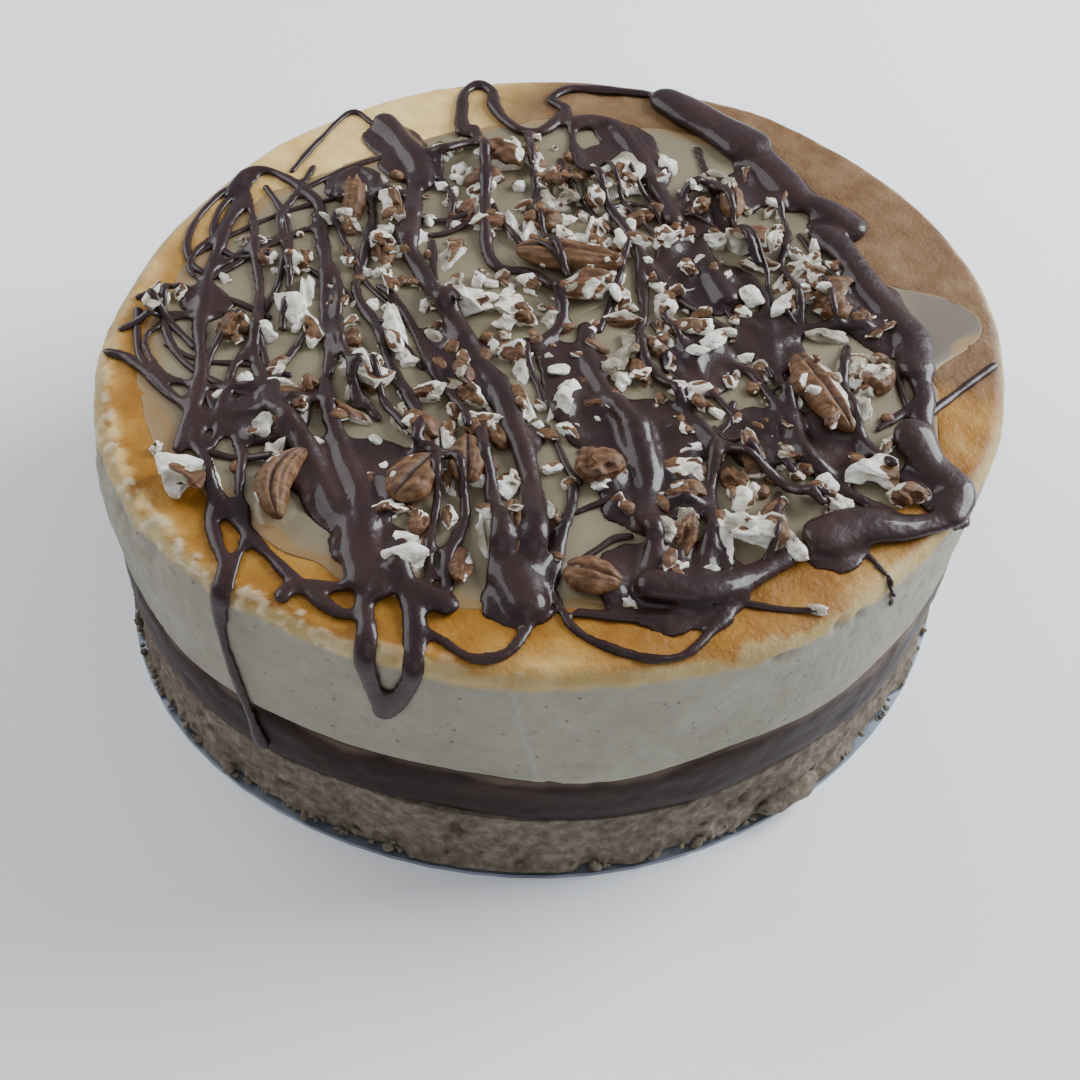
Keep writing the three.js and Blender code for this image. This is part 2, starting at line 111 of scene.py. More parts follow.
# How much brown skin each broken chunk shows, from 0 to 1
CHUNK_SKIN = {8: 0.95, 10: 0.9, 11: 0.5, 12: 0.15, 13: 0.5, 14: 0.6, 15: 0.3, 16: 0.4, 17: 0.4, 18: 0.35,
              19: 0.3, 20: 0.3, 21: 0.2}


# Shape helpers

def mix(a, b, t):
    """Straight blend from a to b by t."""
    return a + (b - a) * t


def smooth(edge0, edge1, x):
    """Smooth step: 0 below edge0, 1 above edge1, a cubic between."""
    t = np.clip((x - edge0) / (edge1 - edge0), 0, 1)
    return t * t * (3 - 2 * t)


def bell(x, width):
    """Gaussian bump of the given width."""
    return np.exp(-(x / width) ** 2)


# Large odd numbers that scatter a cell's place over all the bits of a whole number
SCATTER = (374761393, 668265263, 2147483647, 1274126177, 2246822519)
LOW_32 = 0xFFFFFFFF
LOW_24 = 0xFFFFFF


def hashed(i, j, k, seed):
    """A fixed random number from 0 to 1 for each cell: its place times large odd numbers, mixed by shifts."""
    along_x, along_y, along_z, again, last = SCATTER
    h = (i * along_x + j * along_y + k * along_z + seed * again) & LOW_32
    h = ((h ^ (h >> 13)) * again) & LOW_32
    h = ((h ^ (h >> 16)) * last) & LOW_32
    return ((h ^ (h >> 15)) & LOW_24) / float(LOW_24)


def lumps(points, size, seed):
    """Value noise from -1 to 1: random numbers on a cubic lattice of that spacing, blended smoothly."""
    q = points / size
    cell = np.floor(q)
    f = q - cell
    f = f * f * (3 - 2 * f)
    i, j, k = (cell[..., n].astype(np.int64) for n in range(3))
    total = 0
    for a, b, c in np.ndindex(2, 2, 2):
        weight = (np.where(a, f[..., 0], 1 - f[..., 0]) * np.where(b, f[..., 1], 1 - f[..., 1])
                  * np.where(c, f[..., 2], 1 - f[..., 2]))
        total = total + weight * hashed(i + a, j + b, k + c, seed)
    return total * 2 - 1


def crags(points, size, seed, octaves=4):
    """Sum of value noise, each octave half the size and half the height of the one before."""
    return sum(lumps(points, size / 2 ** n, seed + n) / 2 ** n for n in range(octaves))


def around(a):
    """An angle brought between minus and plus half a turn."""
    return np.mod(a + np.pi, TAU) - np.pi


def angles(count):
    """Equal steps of the whole circle, from minus half a turn."""
    return np.arange(count) / count * TAU - np.pi


def polar(far, a, z):
    """Points at a distance from the axis, at an angle round it and a height."""
    return np.stack([far * np.cos(a), far * np.sin(a), z], -1)


def outline(a):
    """The cake is a little out of round: a sum of five low waves of the angle.

    A scratch program fitted the sizes of the waves to the rim's edge in the picture."""
    low = 1.009 - 0.003 * np.cos(a) + 0.0066 * np.sin(a) - 0.0022 * np.cos(2 * a) + 0.0385 * np.sin(2 * a)
    mid = 0.0033 * np.cos(3 * a) - 0.0067 * np.sin(3 * a) - 0.0057 * np.cos(4 * a) + 0.0056 * np.sin(4 * a)
    return low + mid + 0.0023 * np.cos(5 * a) - 0.0046 * np.sin(5 * a)


def wall_wave(a, z):
    """Slow unevenness of the wall: three waves round it and a bulge on its left side."""
    slow = 0.35 * np.sin(5 * a + 0.7) + 0.25 * np.sin(9 * a + z * 0.06) + 0.2 * np.sin(14 * a - z * 0.11)
    return slow + 2.2 * bell(around(a - 3.54), 0.32) * bell(z - 58, 13)


def biscuit_seam(a):
    """Height of the top of the biscuit at the wall: three waves of the angle."""
    return BISCUIT_TOP - 1 + np.sin(3 * a + 0.4) + 0.7 * np.sin(7 * a + 2.1) + 0.25 * np.sin(12 * a)


def chocolate_seam(a):
    """Height of the top of the chocolate layer at the wall: three waves of the angle."""
    return CHOCOLATE_TOP + np.sin(2 * a + 2.5) + 0.7 * np.sin(6 * a + 0.6) + 0.3 * np.sin(11 * a + 1.3)


def pool_reach(a):
    """Distance from the centre to the caramel's edge at an angle, blended between the edge's own points."""
    angle = np.arctan2(POOL_EDGE[:, 1], POOL_EDGE[:, 0])
    order = np.argsort(angle)
    far = np.hypot(POOL_EDGE[:, 0], POOL_EDGE[:, 1])
    return np.interp(a, angle[order], far[order], period=TAU)


def pool_edge(a):
    """Reach of the caramel with its corners eased and a small wander of the liquid's edge: three waves."""
    near = sum(pool_reach(a + d) for d in np.linspace(-0.05, 0.05, 7)) / 7
    wander = 0.5 * np.sin(19 * a + 1) + 0.35 * np.sin(31 * a) + 0.25 * np.sin(47 * a + 2)
    return np.minimum(near + wander, CAKE_R * outline(a) - 4.2)


def rim_swell(a, inward):
    """Slow rise and fall of the browned rim: two waves of the angle that fade inwards as a bell."""
    return (0.25 * np.sin(4 * a + 1) + 0.2 * np.sin(7 * a)) * bell(inward, 12)


def bare_top(x, y):
    """Height of the baked top: flat inside, a slightly uneven browned rim, rounded off at the wall."""
    a = np.arctan2(y, x)
    inward = CAKE_R * outline(a) - np.hypot(x, y)
    short = np.clip(RIM_ROUND - inward, 0, RIM_ROUND)
    fall = RIM_ROUND * (1 - np.sqrt(np.maximum(0, 1 - (short / RIM_ROUND) ** 2)))
    return TOP_Z + rim_swell(a, inward) - fall


def make(name, points, faces, material, smooth_shade=True, **attributes):
    """Puts points in millimetres and faces into a mesh object at the origin, with point attributes.

    Each coordinate is held just inside the box of the solid model."""
    mesh = bpy.data.meshes.new(name)
    held = np.clip(np.asarray(points, float) * MM, BOX[0] + BOX_MARGIN * MM, BOX[1] - BOX_MARGIN * MM)
    mesh.from_pydata(held.tolist(), [], [tuple(f) for f in faces])
    for key, values in attributes.items():
        layer = mesh.attributes.new(key, "FLOAT", "POINT")
        layer.data.foreach_set("value", np.asarray(values, np.float32).ravel())
    mesh.polygons.foreach_set("use_smooth", np.full(len(mesh.polygons), smooth_shade))
    mesh.materials.append(material)
    mesh.validate()
    mesh.update()
    piece = bpy.data.objects.new(name, mesh)
    bpy.context.scene.collection.objects.link(piece)
    return piece


def join(parts):
    """Points and faces of closed parts as one mesh: each part's faces count on from the points before it."""
    starts = np.cumsum([0] + [len(part[0]) for part in parts[:-1]])
    faces = [[int(i) + int(start) for i in f] for part, start in zip(parts, starts) for f in part[1]]
    return np.vstack([part[0] for part in parts]), faces


def round_faces(rows, columns):
    """Faces of a closed round grid, rows from the lower pole to the upper one, with a fan at each pole.

    Points are numbered row by row, then the lower pole, then the upper pole."""
    i, j = np.meshgrid(np.arange(rows - 1), np.arange(columns), indexing="ij")
    n = (j + 1) % columns
    quads = np.stack([i * columns + j, i * columns + n, (i + 1) * columns + n, (i + 1) * columns + j], -1)
    k = np.arange(columns)
    m = (k + 1) % columns
    low = np.stack([np.full(columns, rows * columns), m, k], -1)
    top = (rows - 1) * columns
    high = np.stack([np.full(columns, rows * columns + 1), top + k, top + m], -1)
    return quads.reshape(-1, 4).tolist() + low.tolist() + high.tolist()


def with_poles(grid):
    """Points of a round grid [row, column], then one pole at the middle of the first row and of the last."""
    return np.vstack([grid.reshape(-1, 3), grid[0].mean(0), grid[-1].mean(0)])


def round_body(name, grid, material, **attributes):
    """A closed body from a grid of points [row, column] that runs round the Z axis."""
    padded = {key: np.append(v.ravel(), [v[0].mean(), v[-1].mean()]) for key, v in attributes.items()}
    return make(name, with_poles(grid), round_faces(*grid.shape[:2]), material, **padded)


# Materials

class Paint:
    """A node material with one Principled shader, and the few nodes that this cake's finishes are made of.

    Values that are the same all over sit on the shader's own sockets."""

    def __init__(self, name, rough, coat=0.0, coat_rough=0.1, specular=0.5, ior=1.45):
        self.material = bpy.data.materials.new(name)
        self.material.use_nodes = True
        self.nodes, self.links = self.material.node_tree.nodes, self.material.node_tree.links
        self.nodes.clear()
        out = self.nodes.new("ShaderNodeOutputMaterial")
        self.shader = self.nodes.new("ShaderNodeBsdfPrincipled")
        self.fix(self.shader, {"Roughness": rough, "Coat Weight": coat, "Coat Roughness": coat_rough,
                               "IOR": ior, "Specular IOR Level": specular})
        self.links.new(self.shader.outputs[0], out.inputs[0])
        self.where = self.nodes.new("ShaderNodeTexCoord").outputs["Object"]

    def fix(self, node, values):
        """Sets fixed values on a node's sockets, by their names."""
        for socket, value in values.items():
            node.inputs[socket].default_value = value

    def feed(self, pairs):
        """Puts a number or a colour on each socket, or a link to it."""
        for socket, value in pairs:
            if isinstance(value, (int, float)):
                socket.default_value = value
            elif isinstance(value, tuple):
                socket.default_value = (*value, 1)
            else:
                self.links.new(value, socket)

    def under(self, weight, radius, scale):
        """Light that spreads below the surface: its share, its reach in each colour and a scale in metres."""
        self.fix(self.shader, {"Subsurface Weight": weight, "Subsurface Radius": radius,
                               "Subsurface Scale": scale})

    def stretched(self, scale):
        """Object coordinates through a Mapping node, so that a pattern runs lengthways."""
        n = self.nodes.new("ShaderNodeMapping")
        self.fix(n, {"Scale": scale})
        self.links.new(self.where, n.inputs["Vector"])
        return n.outputs[0]

    def noise(self, scale, detail=4.0, rough=0.55, where=None):
        """Noise texture value at that scale, in waves per metre."""
        n = self.nodes.new("ShaderNodeTexNoise")
        self.fix(n, {"Scale": scale, "Detail": detail, "Roughness": rough})
        self.links.new(self.where if where is None else where, n.inputs["Vector"])
        return n.outputs["Fac"]

    def cells(self, scale):
        """Distance to the nearest point of a scattered set, that many to the metre."""
        n = self.nodes.new("ShaderNodeTexVoronoi")
        self.fix(n, {"Scale": scale})
        self.links.new(self.where, n.inputs["Vector"])
        return n.outputs["Distance"]

    def ramp(self, value, *stops):
        """Colour ramp through (place, colour) stops."""
        r = self.nodes.new("ShaderNodeValToRGB")
        elements = r.color_ramp.elements
        while len(elements) < len(stops):
            elements.new(0.5)
        for element, (at, colour) in zip(elements, stops):
            element.position = at
            element.color = (*colour, 1)
        self.links.new(value, r.inputs[0])
        return r.outputs[0]

    def mask(self, value, black, white, most=1):
        """Grey from 0 where the value is black to most where it is white."""
        return self.ramp(value, (black, (0, 0, 0)), (white, (most,) * 3))

    def blend(self, factor, a, b, mode="MIX"):
        """Colour a turned into colour b by a factor."""
        n = self.nodes.new("ShaderNodeMix")
        n.data_type = "RGBA"
        n.blend_type = mode
        self.feed(((n.inputs[0], factor), (n.inputs[6], a), (n.inputs[7], b)))
        return n.outputs[2]

    def maths(self, operation, a, b=0.0, c=0.0):
        """One Math node on values or sockets."""
        n = self.nodes.new("ShaderNodeMath")
        n.operation = operation
        self.feed(zip(n.inputs, (a, b, c)))
        return n.outputs[0]

    def attribute(self, name):
        """A point attribute of the piece as a value."""
        n = self.nodes.new("ShaderNodeAttribute")
        n.attribute_name = name
        return n.outputs["Fac"]

    def colour(self, value):
        """Colour of the shader."""
        self.links.new(value, self.shader.inputs["Base Color"])

    def rough(self, value, share, base):
        """Roughness of the shader: base and a share of a value."""
        self.links.new(self.maths("MULTIPLY_ADD", value, share, base), self.shader.inputs["Roughness"])

    def bump(self, height, strength, distance):
        """Fine relief on the shader's normal; distance in metres."""
        n = self.nodes.new("ShaderNodeBump")
        self.fix(n, {"Strength": strength, "Distance": distance})
        self.links.new(height, n.inputs["Height"])
        self.links.new(n.outputs[0], self.shader.inputs["Normal"])


def tin_metal():
    """Dulled grey tinned steel with faint scratches and stains, tinted blue as a painted reflection of a blue
    plate.
    """
    p = Paint("dulled_tin", 0.42)
    p.fix(p.shader, {"Metallic": 0.85})
    # The blue in this grey is a painted reflection of a blue plate.
    p.colour(p.ramp(p.noise(60), (0.3, (0.16, 0.18, 0.22)), (0.7, (0.34, 0.38, 0.45))))
    fine = p.noise(900)
    p.rough(fine, 0.25, 0.3)
    p.bump(fine, 0.2, 0.0001)
    return p.material


def biscuit_crumb():
    """Pressed biscuit: dull grey-brown grains, paler crumbs and painted shade in its pits, with a dry
    surface.
    """
    p = Paint("pressed_biscuit", 0.9, specular=0.25)
    grain = p.noise(420, 6, 0.65)
    colour = p.ramp(grain, (0.28, (0.095, 0.074, 0.053)), (0.46, (0.165, 0.136, 0.102)),
                    (0.6, (0.235, 0.20, 0.156)), (0.78, (0.35, 0.315, 0.255)))
    tint = p.ramp(p.noise(70, 3), (0.35, (0.78, 0.74, 0.72)), (0.65, (1.05, 1.02, 0.98)))
    colour = p.blend(1.0, colour, tint, "MULTIPLY")
    # Painted shade: the colour darkens in the pits of the wall.
    p.colour(p.blend(p.attribute("pit"), colour, (0.065, 0.045, 0.032)))
    p.bump(p.maths("ADD", grain, p.noise(1400, 5, 0.7)), 0.7, 0.0005)
    return p.material


def chocolate_set():
    """Set dark chocolate layer: satin, smeared lengthways, paler where filling has smeared over its edge."""
    p = Paint("set_chocolate", 0.5, specular=0.14)
    smear = p.noise(55, 5, 0.6, p.stretched((1, 1, 4)))
    colour = p.ramp(smear, (0.3, (0.013, 0.0056, 0.0046)), (0.55, (0.025, 0.0115, 0.009)),
                    (0.8, (0.056, 0.029, 0.023)))
    p.colour(p.blend(p.attribute("smear"), colour, (0.15, 0.105, 0.08)))
    p.rough(smear, 0.3, 0.32)
    p.bump(p.noise(500, 4), 0.25, 0.0003)
    return p.material


def cream_side(p, cloud):
    """Cream of the wall: slow and cloudy changes of tone, tiny dark specks, a paler line along the crack."""
    cream = p.ramp(p.noise(28, 3), (0.3, (0.250, 0.231, 0.176)), (0.7, (0.322, 0.300, 0.237)))
    cream = p.blend(1.0, cream, p.ramp(cloud, (0.3, (0.86, 0.85, 0.83)), (0.7, (1.1, 1.1, 1.1))), "MULTIPLY")
    speck = p.ramp(p.cells(330), (0.09, (1, 1, 1)), (0.18, (0, 0, 0)))
    speck = p.blend(1.0, speck, p.mask(p.noise(130, 2), 0.42, 0.55, 0.85), "MULTIPLY")
    cream = p.blend(speck, cream, (0.12, 0.10, 0.075))
    return p.blend(p.attribute("crack"), cream, (0.40, 0.385, 0.33))


def baked_top(p, mottle):
    """Skin of the baked rim: gold, pale gold where it is crusty or less baked and as painted sheen at the
    back, brown where it is darkest.
    """
    gold = p.ramp(mottle, (0.28, (0.225, 0.083, 0.006)), (0.5, (0.325, 0.138, 0.014)),
                  (0.72, (0.43, 0.23, 0.042)))
    # Pale gold serves the crusty patches and the painted sheen at the back.
    pale_gold = p.ramp(mottle, (0.3, (0.64, 0.395, 0.12)), (0.7, (0.91, 0.67, 0.285)))
    brown = p.ramp(mottle, (0.3, (0.115, 0.058, 0.026)), (0.5, (0.16, 0.088, 0.043)),
                   (0.72, (0.215, 0.13, 0.072)))
    return p.blend(p.attribute("darkness"), p.blend(p.attribute("pale_crust_and_sheen"), gold, pale_gold), brown)


def baked_filling():
    """Cream filling at the side, a tan lip above it, a browned skin on top and pale flakes along the lip."""
    p = Paint("baked_cheesecake", 0.55, specular=0.25)
    p.under(0.1, (1.0, 0.8, 0.5), 0.002)
    cloud = p.noise(170, 6, 0.7)
    mottle = p.noise(95, 6, 0.6)
    browned = p.attribute("browned")
    lip = p.ramp(mottle, (0.3, (0.36, 0.235, 0.08)), (0.7, (0.53, 0.415, 0.20)))
    colour = p.blend(p.attribute("lip"), cream_side(p, cloud), lip)
    colour = p.blend(browned, colour, baked_top(p, mottle))
    crumbly = p.ramp(cloud, (0.35, (0.42, 0.31, 0.15)), (0.6, (0.65, 0.55, 0.37)))
    p.colour(p.blend(p.attribute("flake"), colour, crumbly))
    p.rough(browned, -0.12, 0.6)
    p.bump(p.maths("ADD", p.noise(900, 4), mottle), 0.5, 0.0006)
    return p.material


def wet_caramel():
    """Soft caramel: a grey-tan, slightly see-through liquid with a soft gloss, browner where it is thin."""
    p = Paint("wet_caramel", 0.38, coat=0.12, coat_rough=0.2, specular=0.4)
    p.under(0.2, (1.0, 0.65, 0.35), 0.003)
    broad = p.noise(40, 4)
    colour = p.ramp(broad, (0.3, (0.19, 0.152, 0.092)), (0.7, (0.25, 0.208, 0.132)))
    thin = p.ramp(broad, (0.3, (0.25, 0.145, 0.05)), (0.7, (0.29, 0.19, 0.085)))
    colour = p.blend(p.attribute("thin"), colour, thin)
    p.colour(p.blend(p.attribute("tab"), colour, (0.15, 0.118, 0.092)))
    p.bump(p.noise(120, 3), 0.15, 0.0006)
    return p.material


def dark_drizzle():
    """Thick chocolate sauce: nearly black purple-brown, glossy, with ripples that break up its highlights."""
    p = Paint("chocolate_drizzle", 0.42, coat=0.32, coat_rough=0.07, specular=0.22)
    broad = p.noise(60, 4)
    p.colour(p.ramp(broad, (0.3, (0.020, 0.0078, 0.0078)), (0.7, (0.040, 0.0165, 0.0155))))
    p.rough(broad, 0.25, 0.3)
    p.bump(p.maths("MULTIPLY_ADD", p.noise(430, 2), 0.35, p.noise(170, 4)), 0.6, 0.0009)
    return p.material


def nut_flesh():
    """Broken pecan: cream-white flesh, brown skin where the skin attribute is 1, painted shade in its
    grooves.
    """
    p = Paint("broken_pecan", 0.55, specular=0.35)
    p.under(0.08, (1.0, 0.8, 0.6), 0.001)
    grain = p.noise(420, 5, 0.6)
    flesh = p.ramp(grain, (0.3, (0.46, 0.40, 0.29)), (0.5, (0.74, 0.70, 0.61)), (0.7, (0.92, 0.90, 0.85)))
    dull = p.ramp(grain, (0.3, (0.19, 0.155, 0.10)), (0.7, (0.42, 0.375, 0.28)))
    flesh = p.blend(p.mask(p.noise(75, 2), 0.5, 0.62), flesh, dull)
    streak = p.noise(330, 5, 0.65, p.stretched((1, 2.5, 1)))
    skin = p.ramp(streak, (0.28, (0.05, 0.020, 0.008)), (0.5, (0.145, 0.066, 0.026)),
                  (0.75, (0.29, 0.16, 0.072)))
    worn = p.maths("SUBTRACT", p.attribute("skin"), p.maths("MULTIPLY", grain, 0.35))
    colour = p.blend(p.mask(worn, 0.12, 0.3), flesh, skin)
    # The groove value darkens the colour: painted shade in the furrows of the halves, dark stripes on the
    # skin of chunks.
    p.colour(p.blend(p.attribute("groove"), colour, (0.04, 0.015, 0.008)))
    p.bump(p.maths("ADD", grain, streak), 0.5, 0.0003)
    return p.material


def floor_paint():
    """Plain pale floor, faintly uneven."""
    p = Paint("pale_floor", 0.8, specular=0.2)
    p.colour(p.ramp(p.noise(3, 2), (0.3, (0.93, 0.93, 0.93)), (0.7, (0.95, 0.95, 0.95))))
    return p.material


TIN_METAL = tin_metal()
BISCUIT = biscuit_crumb()
CHOCOLATE = chocolate_set()
FILLING = baked_filling()
CARAMEL = wet_caramel()
DRIZZLE = dark_drizzle()
NUT = nut_flesh()


# Cake layers

def biscuit_layer():
    """Rough closed drum: flat underside, wall pushed in and out by crags and pits, foot crumbling out."""
    wall_rows = 46
    low = TIN_T + GAP
    rise = np.concatenate([[0, 0, 0], np.linspace(0, 1, wall_rows), [1, 1]])
    reach = np.concatenate([[0.5, 0.9, 0.97], np.full(wall_rows, 0.992), [0.97, 0.85]])
    A, T = np.meshgrid(angles(900), rise)
    R = reach[:, None]
    far = R * CAKE_R * outline(A)
    high = np.where(R > 0.9, biscuit_seam(A), BISCUIT_TOP - 1)
    Z = low + T * (high - low)
    P = polar(far, A, Z)
    coarse = crags(P, 9, 3, 3)
    grain = crags(P, 3.2, 9, 3)
    pits = smooth(0.25, 0.75, lumps(P, 2.6, 21)) * smooth(-0.1, 0.5, lumps(P, 12, 5))
    wall = (R > 0.98) * smooth(0, 0.03, T) * smooth(1.001, 0.97, T)
    foot = 1.6 * smooth(0.22, 0.02, T) * (0.3 + smooth(-0.2, 0.6, coarse))
    push = wall * (0.7 * coarse + 0.55 * grain - 1.3 * pits + foot)
    far = np.minimum(far + push, CAKE_R * outline(A) * BISCUIT_LIMIT)
    # Painted shade in the pits, where the wall is pushed in.
    pit = wall * smooth(0.3, 0.8, pits) * 0.7
    piece = round_body("biscuit_crust", polar(far, A, Z), BISCUIT, pit=pit)
    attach(piece, "root")
    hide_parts("biscuit_base")


def chocolate_layer():
    """Smooth closed drum between the two seams; noise smears its upper edge and a patch at the right."""
    wall_rows = 30
    rise = np.concatenate([[0, 0, 0], np.linspace(0.02, 0.98, wall_rows), [1, 1, 1]])
    barrel = 1.001 - 0.012 * np.abs(np.linspace(-1, 1, wall_rows)) ** 4
    lean = np.concatenate([[0.5, 0.85, 0.98], barrel, [0.98, 0.85, 0.5]])
    A, T = np.meshgrid(angles(720), rise)
    R = lean[:, None]
    low = np.where(R > 0.9, biscuit_seam(A), BISCUIT_TOP - 1) + GAP * 0.5
    high = np.where(R > 0.9, chocolate_seam(A), CHOCOLATE_TOP) + GAP * 0.5
    far = R * CAKE_R * outline(A) + (R > 0.9) * 0.7 * wall_wave(A, 25)
    Z = low + T * (high - low)
    P = polar(far, A, Z)
    far = far + (R > 0.99) * (0.3 * crags(P, 14, 31, 3) + 0.12 * crags(P, 3, 35, 2))
    edge_smear = (R > 0.97) * smooth(0.86, 0.99, T + 0.1 * crags(P * (0.4, 0.4, 1), 5, 37, 3))
    P = polar(far, A, Z)
    right_smear = 0.5 * bell(around(A + 0.3), 0.42) * smooth(-0.5, 0.8, crags(P * (1, 1, 2), 9, 39, 3))
    smear = 0.75 * np.clip(edge_smear + right_smear, 0, 1)
    piece = round_body("chocolate_band", P, CHOCOLATE, smear=smear)
    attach(piece, "root")
    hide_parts("chocolate_layer")


# Small tears under the browned edge: angle, height, depth, width in radians, tallness
TEARS = [
    (-0.92, 68.6, 1.7, 0.016, 1.6), (-1.06, 67.4, 1.6, 0.026, 1.3), (-0.86, 67.8, 1.1, 0.014, 1.6),
    (-2.62, 66, 1.3, 0.05, 2.2), (-2.5, 64, 1.2, 0.04, 1.8), (-2.42, 61, 0.9, 0.03, 1.5),
    (-2.75, 60, 1.0, 0.04, 2.4),
]
# The fine upright crack at the front: its angle at some heights, near those that a scratch program worked
# out from points picked in the picture
CRACK_HEIGHTS = [36, 44, 52, 60, 70]
CRACK_ANGLES = [-1.538, -1.552, -1.568, -1.584, -1.6]
# Rows of points of the filling: along its underside, up its wall and in the pocket for the caramel
UNDER_ROWS = 3
WALL_ROWS = 62
POCKET_ROWS = 4


def filling_rows(a):
    """Distance and height of each row of points: out along the underside, up the wall, round the rim in a
    quarter circle, in over the top and down into the pocket."""
    edge = CAKE_R * outline(a)
    low = chocolate_seam(a) + GAP * 0.5
    top_side = TOP_Z - RIM_ROUND
    rows = [(0.5 * edge, CHOCOLATE_TOP + GAP), (0.85 * edge, CHOCOLATE_TOP + GAP), (0.975 * edge, low)]
    for t in np.linspace(0, 1, WALL_ROWS):
        curl = 0.8 * (1 - min(1, t * 14)) ** 2
        rows.append((edge - curl, low + (top_side - low) * t))
    for turn in np.linspace(0.12, 1, 11) * np.pi / 2:
        rows.append((edge - RIM_ROUND * (1 - np.cos(turn)), top_side + RIM_ROUND * np.sin(turn)))
    shore = pool_edge(a) + 0.1
    start = edge - RIM_ROUND
    rows += [(start + (shore - start) * t, TOP_Z) for t in np.linspace(0.06, 1, 26) ** 1.15]
    deep = POOL_TOP - POOL_FLOOR
    pocket = ((0.5, 0.7), (1.2, 1.3), (3, deep), (30, deep))
    rows += [(shore - inward, TOP_Z - depth) for inward, depth in pocket]
    return (np.vstack([row[n] + 0 * a for row in rows]) for n in (0, 1))


def filling_push(P, A, turn, inward, on_wall, bare, crack):
    """How far each point moves out: slow waves, crags, pores and tears of the wall, the crack, and crumbling
    at the front left."""
    Z = P[..., 2]
    skin = on_wall | bare
    pores = smooth(0.4, 0.85, lumps(P, 1.9, 61)) * smooth(-0.2, 0.5, lumps(P, 9, 63))
    uneven = 0.28 * crags(P, 22, 51, 3) + 0.1 * crags(P, 4, 55, 2)
    push = skin * smooth(9, 3.5, inward) * uneven + on_wall * (wall_wave(A, Z) - 0.35 * pores)
    push = push + (bare & (inward < 6)) * wall_wave(A, Z) * 0.8 * smooth(6, 1, inward)
    jag = 1 + 0.5 * lumps(P, 1.6, 67)
    for angle, height, depth, width, tall in TEARS:
        push = push - skin * depth * jag * bell(around(turn - angle), width) * bell(Z - height, tall)
    push = push + on_wall * 0.12 * bell(crack - 0.006 * lumps(P, 3, 71), 0.006)
    crumbled = bell(around(turn - 3.82), 0.34) * smooth(48, 66, Z)
    return push - skin * smooth(5, 2, inward) * crumbled * (0.7 + 0.8 * crags(P, 4.5, 73, 3))


def filling_tints(P, turn, inward, on_wall, on_top, crack):
    """Where each finish lies: browned on top, lip, pale colour on crusty patches and as painted sheen at the
    back, darkness at the back right and a little at the front right, and the line of the crack."""
    browned = on_top * smooth(0.5, 2.4, inward + 1.1 * crags(P, 5, 91, 3))
    lip = smooth(67.6, 69.9, P[..., 2] + 0.9 * crags(P, 6, 95, 3))
    # Painted sheen: the rim is paler at the back, partly from its own lighter bake and partly as painted
    # light.
    back = bell(around(turn - 2.2), 0.62)
    crust = bell(around(turn - 3.62), 0.4) * smooth(6.5, 1.5, inward) * smooth(-0.2, 0.5, crags(P, 5, 96, 3))
    patches = 0.35 * smooth(0.1, 0.9, lumps(P, 16, 97)) * smooth(9, 3, inward)
    darkness = smooth(1.5, 1.1, np.abs(around(turn - 0.85)) / 0.75 + 0.2 * lumps(P, 20, 99)) * 0.9
    front_right = 0.22 * bell(around(turn + 0.85), 0.55) * (1 + 0.5 * lumps(P, 12, 103))
    line = on_wall * bell(crack - 0.008 * lumps(P, 3, 71), 0.005) * 0.35
    return {"browned": browned, "lip": lip, "pale_crust_and_sheen": np.clip(back * 1.1 + crust + patches, 0, 1),
            "darkness": np.maximum(darkness, front_right), "crack": line}


def filling_layer():
    """Closed drum: a wall with fine pores and tears, a rounded browned rim with crusty flakes along its front
    left lip, and a shallow pocket for the caramel.

    The rows are pushed outwards, then the baked skin gets low bumps, then the flakes stand out of the lip."""
    a = angles(800)
    far, Z = filling_rows(a)
    A = np.broadcast_to(a, far.shape)
    row = np.arange(len(far))[:, None]
    on_wall = (row >= UNDER_ROWS) & (row < UNDER_ROWS + WALL_ROWS)
    on_top = row >= UNDER_ROWS + WALL_ROWS
    bare = on_top & (row < len(far) - POCKET_ROWS)
    inward = CAKE_R * outline(a) - far
    Z = Z + bare * rim_swell(A, inward)
    turn = np.mod(A, TAU)
    crack = around(turn - np.interp(Z, CRACK_HEIGHTS, CRACK_ANGLES))
    P = polar(far, A, Z)
    far = far + filling_push(P, A, turn, inward, on_wall, bare, crack)
    Z = Z + bare * (0.22 * crags(P, 7, 81, 3) + 0.1 * crags(P, 2.2, 85, 2)) * smooth(0, 3, inward)
    P = polar(far, A, Z)
    near_lip = smooth(4.6, 2.4, inward + lumps(P, 3.5, 111)) * smooth(67.4, 69.4, Z)
    flakes = bell(around(turn - 3.9), 0.58) * near_lip
    flakes = 0.9 * flakes * (on_wall | bare) * smooth(0.05, 0.32, crags(P, 1.9, 107, 2))
    far = far + 0.25 * flakes * smooth(3.2, 0.5, inward)
    Z = Z + 0.35 * flakes * bare
    P = polar(far, A, Z)
    tints = filling_tints(P, turn, inward, on_wall, on_top, crack)
    piece = round_body("baked_filling", P, FILLING, flake=flakes, **tints)
    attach(piece, "root")
    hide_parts("cheesecake_filling")


# Height of whatever the sauce falls on, kept as a grid of half-millimetre cells

CELL = 0.5
HALF = 106.0
FAR_BELOW = -1e9
ticks = np.arange(-HALF, HALF + CELL / 2, CELL)
GX, GY = np.meshgrid(ticks, ticks, indexing="ij")


def in_pool(x, y, margin=0.0):
    """True inside the caramel's edge less a margin."""
    return np.hypot(x, y) < pool_edge(np.arctan2(y, x)) - margin


ground = np.where(in_pool(GX, GY), POOL_TOP, bare_top(GX, GY))


